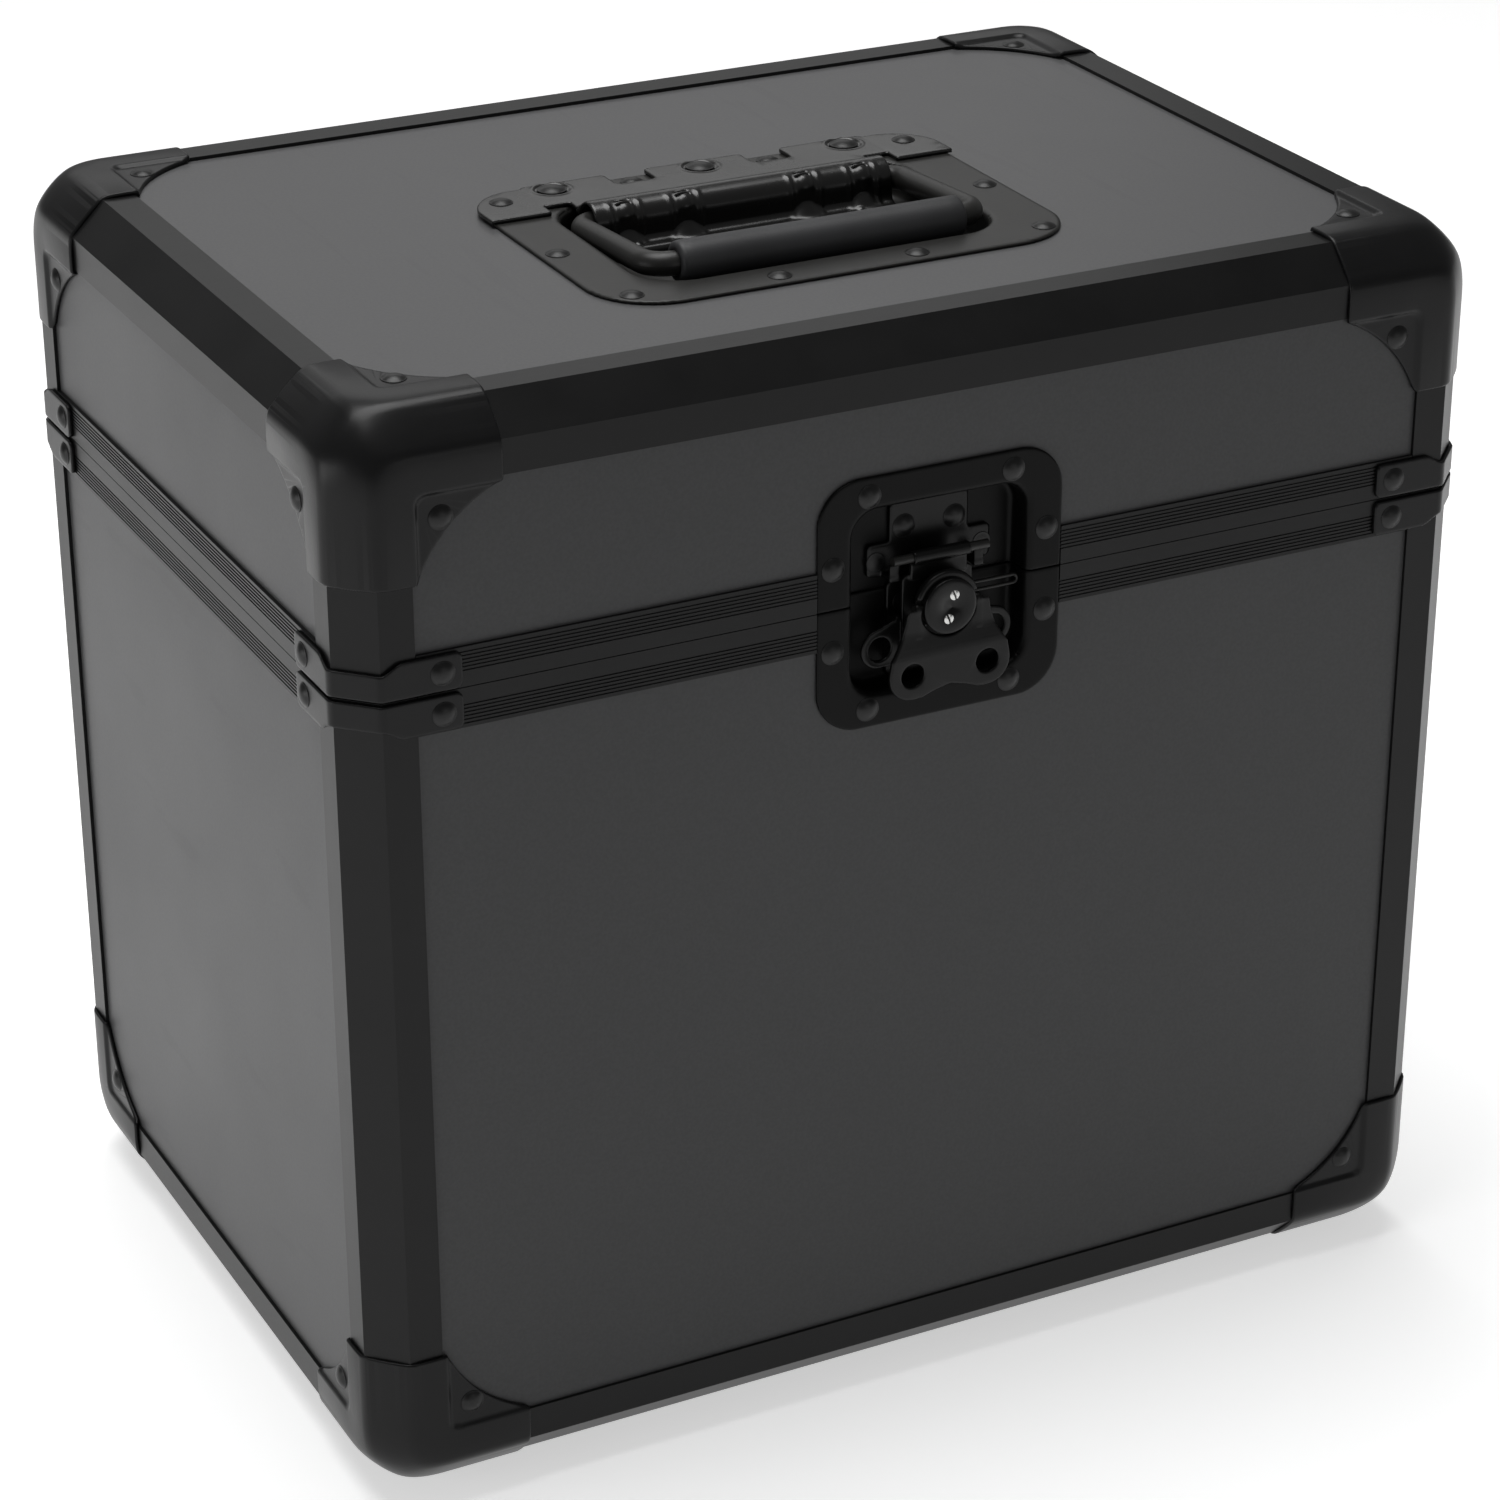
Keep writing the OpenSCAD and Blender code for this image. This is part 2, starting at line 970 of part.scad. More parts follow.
module lid_rivets() {
    color(black) {
        lid_fixings(false);
        keeper_rivet_set(false);
    }
}

// ---------------------------------------------------------------- feet and pads

foot_top = base_z + skin_t + channel_fit;
screw_r = 2;
screw_head_r = 4.5;
screw_head_t = 1.6;
screw_seat = 2.5;
screw_l = foot_top + panel_t - 1 - screw_seat;
foot_draft = 2;

module each_foot() {
    for (sx = [-1, 1])
        for (sy = [-1, 1])
            translate([sx * (half_w - foot_inset), sy * (half_d - foot_inset), 0])
                children();
}

// A foot's screw, its head sunk into the rubber
module foot_screw_set(bore) {
    fit = bore ? shank_fit : 0;
    each_foot()
        translate([0, 0, screw_seat])
            cylinder(r = screw_r + fit, h = screw_l + fit);
}

module feet() {
    color(rubber)
        difference() {
            each_foot()
                rotate_extrude()
                    polygon([[0, 0], [foot_r - foot_draft, 0], [foot_r, foot_top], [0, foot_top]]);
            foot_screw_set(true);
            each_foot()
                translate([0, 0, -over])
                    cylinder(r = screw_head_r + 2 * shank_fit, h = screw_seat + over + shank_fit);
        }
}

module foot_screws() {
    color(steel) {
        foot_screw_set(false);
        each_foot()
            translate([0, 0, screw_seat - screw_head_t])
                cylinder(r = screw_head_r, h = screw_head_t);
    }
}

// The pads lie inside the clenched rivets; one on the floor, one under the handle's dish
pad_inset = channel_end + panel_clip;
pad_gap = 0.2;
module pad() {
    linear_extrude(pad_t)
        clipped_2d(case_w - 2 * pad_inset, case_d - 2 * pad_inset);
}

module base_pad() {
    color(foam)
        translate([0, 0, base_z + panel_u + panel_t + pad_gap])
            pad();
}

module lid_pad() {
    color(foam)
        translate([0, 0, top_z - pull_depth - dish_t - pad_gap - pad_t])
            pad();
}

// ---------------------------------------------------------------- latch dishes

// One half of the latch's dish; side is -1 below the joint and 1 above
module dish_half(side) {
    on_front(seam_z)
        difference() {
            union() {
                translate([0, 0, -skin_t])
                    linear_extrude(dish_t)
                        rounded_2d(dish_w, dish_h, dish_r);
                translate([0, 0, floor_n - dish_t])
                    linear_extrude(dish_depth + dish_t - skin_t)
                        rounded_2d(dish_open + 2 * dish_t, dish_open + 2 * dish_t,
                            dish_open_r + dish_t);
            }
            translate([0, 0, floor_n])
                linear_extrude(dish_depth + over)
                    rounded_2d(dish_open, dish_open, dish_open_r);
            keep = side < 0 ? 0 : -far;
            lift = side < 0 ? 0 : seam_gap;
            translate([-far / 2, keep + lift, -far / 2])
                cube(far);
        }
}

module latch_dish() {
    color(black)
        difference() {
            dish_half(-1);
            base_fixings(true);
            plate_rivet_set(true);
            on_front(hub_z)
                journal_bore();
        }
}

module keeper_dish() {
    color(black)
        difference() {
            dish_half(1);
            lid_fixings(true);
            keeper_rivet_set(true);
        }
}

// ---------------------------------------------------------------- latch mechanism

plate_rivet_r = 3.2;
plate_rivet_h = 0.5;
plate_rivet_x = 9.5;
plate_rivet_drop = [2, 21];
// The flush rivets that hold the latch's plate to the dish
module plate_rivet_set(bore) {
    on_front(hub_z)
        for (sx = [-1, 1])
            for (drop = plate_rivet_drop)
                translate([sx * plate_rivet_x, -drop, plate_n])
                    if (bore)
                        rivet_bore(plate_t + dish_t);
                    else
                        rivet(plate_t + dish_t, plate_rivet_r, plate_rivet_h);
}

// Pressed plate: a thick bed with two cheeks, whose edges turn out into padlock eyes
module latch_plate() {
    bed_w = 2 * (cheek_x + cheek_t);
    slot_w = 2 * (draw_pin_r + run_fit);
    slot_low = draw_pin_z - draw_travel - hub_z;
    color(black)
        difference() {
            on_front(hub_z)
                difference() {
                    union() {
                        translate([-bed_w / 2, bed_low, floor_n])
                            cube([bed_w, bed_high - bed_low, plate_t]);
                        for (sx = [0, 1])
                            mirror([sx, 0, 0]) {
                                translate([cheek_x, cheek_low, floor_n])
                                    cube([cheek_t, cheek_l, cheek_n - floor_n]);
                                translate([0, 0, cheek_n - cheek_t])
                                    linear_extrude(cheek_t)
                                        padlock_eye_2d();
                            }
                    }
                    journal_bore();
                    translate([-far / 2, slot_low, draw_pin_n])
                        rotate([90, 0, 90])
                            slot(slot_w, draw_travel);
                }
            plate_rivet_set(true);
        }
}

// Hairpin of spring wire on two studs that stand on the latch plate
module latch_spring() {
    bend = (wire_drop[1] - wire_drop[0]) / 2;
    color(black)
        on_front(seam_z) {
            for (drop = wire_drop) {
                translate([stud_x, -drop, plate_n])
                    cylinder(r = stud_r, h = wire_n + 2 * wire_r - plate_n);
                translate([stud_x, -drop, wire_n])
                    rotate([0, 90, 0])
                        cylinder(r = wire_r, h = wire_end - stud_x);
            }
            translate([wire_end, -wire_drop[0] - bend, wire_n])
                rotate([0, 0, -90])
                    rotate_extrude(angle = 180)
                        translate([bend, 0])
                            circle(wire_r);
        }
}

// A slot cut along Z, running from the origin along X
module slot(w, travel) {
    cylinder(r = w / 2, h = far);
    translate([travel, 0, 0])
        cylinder(r = w / 2, h = far);
    translate([0, -w / 2, 0])
        cube([travel, w, far]);
}

// The spindle's bore through the latch plate and the dish behind it
module journal_bore() {
    translate([0, 0, floor_n - dish_t - over])
        cylinder(r = journal_r + run_fit, h = dish_t + plate_t + 2 * over);
}

module padlock_eye_2d() {
    difference() {
        union() {
            translate([eye_x, -eye_drop + hub_drop])
                circle(eye_rim);
            translate([cheek_x, cheek_low])
                square([eye_x - cheek_x, eye_root]);
        }
        translate([eye_x, -eye_drop + hub_drop])
            circle(eye_r);
    }
}

// The turned spindle: peened tail, journal, eccentric cam and hub
module latch_spindle() {
    color(black)
        on_front(hub_z)
            difference() {
                union() {
                    translate([0, 0, floor_n - dish_t - cam_gap - tail_t])
                        cylinder(r = tail_flange_r, h = tail_t);
                    translate([0, 0, floor_n - dish_t - cam_gap])
                        cylinder(r = journal_r, h = dish_t + plate_t + 2 * cam_gap);
                    translate([0, ecc, plate_n + cam_gap])
                        cylinder(r = cam_r, h = hub_back - plate_n - cam_gap + over);
                    translate([0, 0, hub_back])
                        cylinder(r = hub_r, h = hub_front - hub_back);
                }
                wing_pin_bore(shank_fit);
                cap_pin_set(shank_fit);
            }
}

module cap_pin_set(fit) {
    rotate([0, 0, -cap_pin_tilt])
        for (sy = [-1, 1])
            translate([0, sy * cap_pin_gap, hub_front - cap_pin_in])
                cylinder(r = cap_pin_r + fit, h = cap_pin_in + cap_t + cap_pin_out);
}

module latch_cap() {
    color(black)
        on_front(hub_z)
            difference() {
                translate([0, 0, hub_front])
                    cylinder(r = cap_r, h = cap_t);
                cap_pin_set(shank_fit);
            }
}

module latch_cap_pins() {
    color(steel)
        on_front(hub_z)
            cap_pin_set(0);
}

wing_arm_x = cap_r + ear_gap + ear_t;

module wing_pin_bore(fit) {
    translate([-wing_arm_x, 0, wing_pin_n])
        rotate([0, 90, 0])
            cylinder(r = wing_pin_r + fit, h = 2 * wing_arm_x);
}

module latch_wing_pin() {
    color(black)
        on_front(hub_z)
            wing_pin_bore(0);
}

// Butterfly wing: two lobes with padlock holes, and two ears beside the hub
module latch_wing() {
    ear_in = cap_r + ear_gap;
    color(black)
        on_front(hub_z)
            difference() {
                union() {
                    translate([0, 0, wing_n])
                        linear_extrude(wing_t)
                            wing_2d();
                    for (sx = [0, 1])
                        mirror([sx, 0, 0])
                            translate([ear_in, 0, 0]) {
                                translate([0, 0, wing_pin_n])
                                    rotate([0, 90, 0])
                                        cylinder(r = ear_r, h = ear_t);
                                translate([0, -ear_drop, wing_n])
                                    cube([ear_t, ear_drop, wing_t]);
                            }
                }
                wing_pin_bore(run_fit);
            }
}

module wing_2d() {
    side_x = lobe_x + lobe_r - 0.6;
    foot_x = lobe_x - 3.4;
    foot_y = -lobe_drop - lobe_r + 0.8;
    brow_x = lobe_x + 2.8;
    difference() {
        union() {
            for (sx = [-1, 1])
                translate([sx * lobe_x, -lobe_drop])
                    circle(lobe_r);
            polygon([
                [-wing_arm_x, -shoulder_drop], [-brow_x, -shoulder_drop],
                [cheek_in - side_x, -cheek_drop], [-side_x, 3 - lobe_drop],
                [-foot_x, foot_y], [0, -lobe_drop - 5], [foot_x, foot_y],
                [side_x, 3 - lobe_drop], [side_x - cheek_in, -cheek_drop],
                [brow_x, -shoulder_drop], [wing_arm_x, -shoulder_drop]
            ]);
        }
        for (sx = [-1, 1])
            translate([sx * lobe_x, -lobe_drop])
                circle(eye_r);
        circle(cap_r + 2.5 * ear_gap);
    }
}

// The pin that carries the draw plate, sliding in the cheeks' slots
module draw_pin() {
    l = 2 * (cheek_x + cheek_t + draw_pin_out);
    color(black)
        translate([-l / 2, -half_d - draw_pin_n, draw_pin_z])
            rotate([0, 90, 0])
                cylinder(r = draw_pin_r, h = l);
}

// Draw plate: a slotted sheet rolled round its pivot pin below and round the cross bar above
module draw_plate() {
    low = draw_pin_z - seam_z;
    high = draw_bar_z - seam_z;
    cam_rest = -hub_drop + ecc;
    cut_h = cam_r + cam_clear;
    cut_w = 2 * (cam_r + ecc + cam_gap);
    color(black)
        on_front(seam_z)
            difference() {
                union() {
                    translate([-draw_w / 2, low, draw_n])
                        cube([draw_w, high - low - draw_neck, draw_t]);
                    translate([-draw_roll_l / 2, high - draw_neck - over, draw_bar_n - draw_roll_r])
                        cube([draw_roll_l, draw_neck + over, draw_t]);
                    translate([-draw_roll_l / 2, high, draw_bar_n])
                        rotate([0, 90, 0])
                            cylinder(r = draw_roll_r, h = draw_roll_l);
                    for (sx = [0, 1])
                        mirror([sx, 0, 0])
                            translate([draw_w / 2 - draw_eye_l, low, draw_pin_n])
                                rotate([0, 90, 0])
                                    cylinder(r = draw_pin_r + draw_eye_t, h = draw_eye_l);
                }
                translate([-cut_w / 2, cam_rest - cut_h, draw_n - over])
                    cube([cut_w, 2 * cut_h, draw_t + 2 * over]);
                translate([-far / 2, high, draw_bar_n])
                    rotate([0, 90, 0])
                        cylinder(r = bar_r + shank_fit, h = far);
                translate([-far / 2, low, draw_pin_n])
                    rotate([0, 90, 0])
                        cylinder(r = draw_pin_r + run_fit, h = far);
            }
}

module draw_bar() {
    color(black)
        translate([-bar_l / 2, -half_d - draw_bar_n, draw_bar_z])
            rotate([0, 90, 0])
                cylinder(r = bar_r, h = bar_l);
}

// The rivets that hold the keeper to its dish
module keeper_rivet_set(bore) {
    on_front(seam_z)
        for (sx = [-1, 1]) {
            translate([sx * keeper_rivet[0], keeper_rivet[1], floor_n + keeper_t])
                rivet_or_bore(keeper_t + dish_t, bore);
            translate([sx * keeper_side_rivet[0], keeper_side_rivet[1], floor_n + keeper_t])
                if (bore)
                    rivet_bore(keeper_t + dish_t);
                else
                    rivet(keeper_t + dish_t, plate_rivet_r, plate_rivet_h);
        }
}

// Keeper: a plate in the upper dish with two hooks for the cross bar
module keeper_plate() {
    shelf = hook_shelf_top - seam_z;
    hook_low = shelf - hook_t;
    lip = hook_lip_top - seam_z;
    color(black)
        difference() {
            on_front(seam_z) {
                translate([-keeper_w / 2, hook_low, floor_n])
                    cube([keeper_w, keeper_h, keeper_t]);
                translate([-keeper_stem_w / 2, hook_low, floor_n])
                    cube([keeper_stem_w, keeper_top - hook_low, keeper_t]);
                for (sx = [0, 1])
                    mirror([sx, 0, 0]) {
                        translate([hook_in, hook_low, floor_n])
                            cube([hook_out - hook_in, hook_t, hook_lip_n - floor_n]);
                        translate([hook_in, hook_low, hook_lip_n - hook_t])
                            cube([hook_out - hook_in, lip - shelf + hook_t, hook_t]);
                    }
            }
            keeper_rivet_set(true);
        }
}

// ---------------------------------------------------------------- handle

// Opening of the handle's recess, grown by g
module pull_open_2d(g) {
    h = pull_open_front + pull_open_back;
    translate([0, -pull_open_front + h / 2])
        rounded_2d(pull_open + 2 * g, h + 2 * g, pull_open_r + g);
}

module handle_dish() {
    color(black)
        difference() {
            union() {
                translate([0, pull_y, flange_z - dish_t])
                    linear_extrude(dish_t)
                        rounded_2d(pull_w, pull_d, pull_r);
                translate([0, 0, flange_z - pull_depth - dish_t])
                    linear_extrude(pull_depth + dish_t)
                        pull_open_2d(dish_t);
            }
            translate([0, 0, flange_z - pull_depth])
                linear_extrude(pull_depth + over)
                    pull_open_2d(0);
            pull_rivets(true);
            big_rivet_set(true);
        }
}

// Small rivets round the handle's flange
module pull_rivets(bore) {
    for (sx = [-1, 1]) {
        for (at = pull_rivet_at)
            translate([sx * at[0], at[1], flange_z])
                rivet_or_bore(dish_grip, bore);
        translate([sx * ear_rivet_at[0], ear_rivet_at[1], flange_z + cover_t])
            rivet_or_bore(dish_grip + cover_t, bore);
    }
}

// The three large rivets through the cover plate
module big_rivet_set(bore) {
    grip = dish_grip + cover_t;
    for (sx = [-1, 0, 1])
        translate([sx * big_rivet_at[0], big_rivet_at[1], flange_z + cover_t])
            if (bore)
                rivet_bore(grip);
            else
                rivet(grip, big_head_r, big_head_h);
}

module handle_rivets() {
    color(black)
        big_rivet_set(false);
}

// Cover plate: flat at the back, rolled over the bail's pivot, with bearings inside
module handle_cover() {
    color(black)
        difference() {
            union() {
                translate([0, 0, flange_z])
                    linear_extrude(cover_t)
                        cover_2d();
                translate([-roll_x, 0, pivot_z])
                    rotate([90, 0, 90])
                        linear_extrude(2 * roll_x)
                            roll_2d();
                for (sx = [0, 1])
                    mirror([sx, 0, 0])
                        for (x = bearer_x)
                            translate([x - bearer_l / 2, 0, pivot_z])
                                rotate([90, 0, 90])
                                    linear_extrude(bearer_l)
                                        bearer_2d();
            }
            translate([-roll_x - over, 0, pivot_z])
                rotate([90, 0, 90])
                    cylinder(r = rod_r + run_fit, h = 2 * roll_x + 2 * over);
            pull_rivets(true);
            big_rivet_set(true);
        }
}

// The cover's flat: a middle, two ears on the flange and two notches in its back edge
module cover_2d() {
    ear_x = pull_open / 2 + skirt_gap;
    difference() {
        union() {
            translate([-roll_x, cover_front])
                square([2 * roll_x, cover_back - cover_front]);
            translate([-ear_x, pull_open_back])
                square([2 * ear_x, cover_ear_back - pull_open_back]);
            for (sx = [0, 1])
                mirror([sx, 0, 0])
                    ear_2d(ear_x);
        }
        for (sx = [-1, 1])
            translate([sx * notch_x - notch_w / 2, cover_back - notch_deep])
                square([notch_w, notch_deep + over]);
    }
}

// One ear of the cover, its outer back corner rounded
module ear_2d(from) {
    end = pull_w / 2 + cover_past;
    difference() {
        translate([from - over, cover_ear_front])
            square([end - from + over, cover_ear_back - cover_ear_front]);
        translate([end - cover_corner_r, cover_ear_back - cover_corner_r])
            difference() {
                square(cover_corner_r + over);
                circle(cover_corner_r);
            }
    }
}

// The roll's front, open below, its skirt down to the dish, and its back
module roll_2d() {
    foot = flange_z - pull_depth + skirt_gap - pivot_z;
    difference() {
        circle(roll_r);
        circle(roll_r - cover_t);
        translate([-roll_r, -2 * roll_r])
            square(2 * roll_r);
        square(4 * roll_r);
    }
    translate([-roll_r, foot])
        square([cover_t, over - foot]);
    roll_back();
}

// The roll's back, from its crown down to the flat
module roll_back() {
    difference() {
        circle(roll_r);
        circle(roll_r - cover_t);
        translate([-2 * roll_r, -2 * roll_r])
            square([2 * roll_r, 4 * roll_r]);
        translate([-2 * roll_r, -2 * roll_r])
            square([4 * roll_r, 2 * roll_r + flange_z - pivot_z]);
    }
}

module bearer_2d() {
    circle(bearer_r);
    difference() {
        intersection() {
            circle(roll_r - cover_t / 2);
            translate([-2.5, 0])
                square([5, 2 * roll_r]);
        }
        circle(bearer_r - over);
    }
}

// One return spring round the bail's rod, from end to end of the room between two bearings
spring_steps = 8;
spring_sides = 6;
spring_room = bearer_x[1] - bearer_x[0] - bearer_l;
spring_pitch = (spring_room - 2 * spring_end_gap - 2 * spring_wire_r) / spring_turns;
function coil(i) = [
    bearer_x[0] + bearer_l / 2 + spring_end_gap + spring_wire_r + i * spring_pitch / spring_steps,
    spring_r * cos(i * 360 / spring_steps),
    spring_r * sin(i * 360 / spring_steps)
];
function coil_ring(i) = [
    for (k = [0 : spring_sides - 1])
        coil(i) + spring_wire_r * (
            cos(k * 360 / spring_sides) * [1, 0, 0]
            + sin(k * 360 / spring_sides) * [0, cos(i * 360 / spring_steps), sin(i * 360 / spring_steps)]
        )
];
spring_n = spring_turns * spring_steps;
spring_self_gap = min([
    for (i = [0 : spring_n - spring_steps / 2])
        for (j = [i + spring_steps / 2 : spring_n])
            norm(coil(i) - coil(j))
]) - 2 * spring_wire_r;
echo(spring_self_gap = spring_self_gap);

module spring() {
    rings = [for (i = [0 : spring_n]) coil_ring(i)];
    points = [for (ring = rings) for (p = ring) p];
    m = spring_sides;
    sides = [
        for (i = [0 : spring_n - 1])
            for (k = [0 : m - 1])
                for (half = [0, 1])
                    half == 0
                        ? [i * m + k, (i + 1) * m + k, (i + 1) * m + (k + 1) % m]
                        : [i * m + k, (i + 1) * m + (k + 1) % m, i * m + (k + 1) % m]
    ];
    start = [for (k = [0 : m - 1]) k];
    finish = [for (k = [m - 1 : -1 : 0]) spring_n * m + k];
    polyhedron(points, concat([start, finish], sides));
}

module handle_springs() {
    color(steel)
        for (sx = [0, 1])
            mirror([sx, 0, 0])
                translate([0, 0, pivot_z])
                    spring();
}

// Bail: a steel rod from bearing to bearing, lying flat with its grip to the front
module handle_bail() {
    stub = bearer_x[0] - bearer_l / 2 - 2;
    drop = atan((pivot_z - grip_z) / arm_l);
    reach = arm_l / cos(drop);
    color(black)
        translate([0, 0, pivot_z])
            rotate([drop, 0, 0])
                for (sx = [0, 1])
                    mirror([sx, 0, 0]) {
                        translate([stub, 0, 0])
                            rotate([0, 90, 0])
                                cylinder(r = rod_r, h = arm_x - bend_r - stub);
                        translate([arm_x - bend_r, -bend_r, 0])
                            rotate_extrude(angle = 90)
                                translate([bend_r, 0])
                                    circle(rod_r);
                        translate([arm_x, -bend_r, 0])
                            rotate([90, 0, 0])
                                cylinder(r = rod_r, h = reach - 2 * bend_r);
                        translate([arm_x - bend_r, -reach + bend_r, 0])
                            rotate([0, 0, -90])
                                rotate_extrude(angle = 90)
                                    translate([bend_r, 0])
                                        circle(rod_r);
                        translate([-over, -reach, 0])
                            rotate([0, 90, 0])
                                cylinder(r = rod_r, h = arm_x - bend_r + over);
                    }
}

module handle_grip() {
    color(rubber)
        translate([-grip_l / 2, -arm_l, grip_z])
            rotate([0, 90, 0])
                difference() {
                    cylinder(r = grip_r, h = grip_l);
                    translate([0, 0, -over])
                        cylinder(r = rod_r + shank_fit, h = grip_l + 2 * over);
                }
}

// ---------------------------------------------------------------- hinges

knuckle_gap = 0.3;
pin_press = 0.02;
leaf_rivet = leaf_h - 8;
// One leaf of a hinge: over the rim, stepped down on to the panel, with its knuckles
module leaf(side, knuckles) {
    step = rim_h + corner_t + 0.5;
    knuckle_l = hinge_l / 5;
    clear_z = knuckle_r - 0.4;
    difference() {
        union() {
            translate([-hinge_l / 2, 0, clear_z])
                cube([hinge_l, corner_t, step - clear_z]);
            translate([-hinge_l / 2, -skin_t, step - corner_t])
                cube([hinge_l, corner_t, leaf_h - step + corner_t]);
            for (k = knuckles)
                translate([-hinge_l / 2 + k * knuckle_l + knuckle_gap / 2, knuckle_r, 0]) {
                    rotate([0, 90, 0])
                        cylinder(r = knuckle_r, h = knuckle_l - knuckle_gap);
                    translate([0, -knuckle_r, 0])
                        cube([knuckle_l - knuckle_gap, corner_t, knuckle_r]);
                }
        }
        translate([-far / 2, knuckle_r, 0])
            rotate([0, 90, 0])
                cylinder(r = hinge_pin_r + (side < 0 ? pin_press : run_fit), h = far);
    }
}

module hinge_base_leaves() {
    color(black)
        difference() {
            for (hx = [-hinge_x, hinge_x])
                translate([hx, half_d, axis_z])
                    mirror([0, 0, 1])
                        leaf(-1, [0, 2, 4]);
            base_fixings(true);
        }
}

module hinge_lid_leaves() {
    color(black)
        difference() {
            for (hx = [-hinge_x, hinge_x])
                translate([hx, half_d, axis_z])
                    leaf(1, [1, 3]);
            lid_fixings(true);
        }
}

module hinge_pins() {
    color(steel)
        for (hx = [-hinge_x, hinge_x])
            translate([hx - hinge_l / 2, axis_y, axis_z])
                rotate([0, 90, 0])
                    cylinder(r = hinge_pin_r, h = hinge_l);
}

// ---------------------------------------------------------------- nodes

base_floor_panel();
base_front_panel();
base_back_panel();
base_left_panel();
base_right_panel();
base_edge_profiles();
base_post_profiles();
base_rim_front();
base_rim_back();
base_rim_left();
base_rim_right();
base_corner_front_left();
base_corner_front_right();
base_corner_back_left();
base_corner_back_right();
base_braces();
base_rivets();
feet();
foot_screws();
base_pad();
latch_dish();
latch_plate();
latch_spring();
hinge_base_leaves();
hinge_pins();
lid_top_panel();
lid_front_panel();
lid_back_panel();
lid_left_panel();
lid_right_panel();
lid_edge_profiles();
lid_post_profiles();
lid_rim_front();
lid_rim_back();
lid_rim_left();
lid_rim_right();
lid_corner_front_left();
lid_corner_front_right();
lid_corner_back_left();
lid_corner_back_right();
lid_braces();
lid_rivets();
lid_pad();
keeper_dish();
keeper_plate();
hinge_lid_leaves();
handle_dish();
handle_cover();
handle_springs();
handle_rivets();
handle_bail();
handle_grip();
latch_spindle();
latch_cap();
latch_cap_pins();
latch_wing_pin();
latch_wing();
draw_pin();
draw_plate();
draw_bar();
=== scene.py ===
import math

import bmesh
import bpy
import numpy as np
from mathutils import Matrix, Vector


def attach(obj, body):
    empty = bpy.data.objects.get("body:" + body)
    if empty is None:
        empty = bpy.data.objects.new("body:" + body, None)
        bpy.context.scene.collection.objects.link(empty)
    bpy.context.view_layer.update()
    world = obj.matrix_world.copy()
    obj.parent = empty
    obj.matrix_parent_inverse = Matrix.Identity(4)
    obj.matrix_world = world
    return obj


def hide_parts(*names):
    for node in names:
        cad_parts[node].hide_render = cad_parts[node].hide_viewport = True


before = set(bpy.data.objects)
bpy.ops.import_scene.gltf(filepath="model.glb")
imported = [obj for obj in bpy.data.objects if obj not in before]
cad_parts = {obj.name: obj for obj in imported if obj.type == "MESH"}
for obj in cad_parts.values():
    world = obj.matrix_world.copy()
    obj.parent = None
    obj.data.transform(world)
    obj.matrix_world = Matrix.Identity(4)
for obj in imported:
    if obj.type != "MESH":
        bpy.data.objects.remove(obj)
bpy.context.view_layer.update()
MM = 0.001

# ---------------------------------------------------------------- sizes, as in the CAD model, mm

HALF_W, HALF_D = 200.0, 141.0       # over the profiles
BASE_Z, TOP_Z = 6.0, 378.0          # the base's lower and the lid's upper face
SEAM_Z, LID_Z = 290.0, 290.3        # the joint and the lid's lower edge
CHAMFER = 11.25                     # what the profiles' corner loses along each face
SHEET = 1.5                         # steel of the corners and braces
DISH_SHEET = 1.2                    # steel of the latch and handle dishes
ROOT2 = math.sqrt(2)

# ---------------------------------------------------------------- distance fields

def smax(a, b, k):
    """Rounded intersection of two distances, with a round of about k."""
    h = np.clip(0.5 - 0.5 * (b - a) / k, 0, 1)
    return b + (a - b) * h + k * h * (1 - h)


def smin(a, b, k):
    """Rounded union of two distances, with a round of about k."""
    return -smax(-a, -b, k)


def rounded_rect(x, y, w, h, r):
    """Distance in the plane to a w by h rectangle with corners of radius r."""
    qx, qy = np.abs(x) - w / 2 + r, np.abs(y) - h / 2 + r
    return np.hypot(np.maximum(qx, 0), np.maximum(qy, 0)) + np.minimum(np.maximum(qx, qy), 0) - r


def polygon(x, y, pts):
    """Signed distance in the plane to a closed polygon, negative inside."""
    pts = np.asarray(pts, float)
    best = np.full(x.shape, 1e18)
    inside = np.zeros(x.shape, bool)
    for (x0, y0), (x1, y1) in zip(pts, np.roll(pts, -1, axis=0)):
        ex, ey = x1 - x0, y1 - y0
        t = np.clip(((x - x0) * ex + (y - y0) * ey) / (ex * ex + ey * ey), 0, 1)
        best = np.minimum(best, (x - x0 - t * ex) ** 2 + (y - y0 - t * ey) ** 2)
        if ey:
            cross = (y0 > y) != (y1 > y)
            inside ^= cross & (x < x0 + (y - y0) * ex / ey)
    return np.where(inside, -1, 1) * np.sqrt(best)


def slab(d2, z, low, high, r):
    """A plane shape d2 swept from low to high, its edges rounded by r."""
    dz = np.abs(z - (low + high) / 2) - (high - low) / 2
    return smax(d2, dz, r)


def cylinder(a, b, z, low, high, radius, r=0.3):
    """A cylinder round the axis a = b = 0, from low to high along z."""
    return slab(np.hypot(a, b) - radius, z, low, high, r)


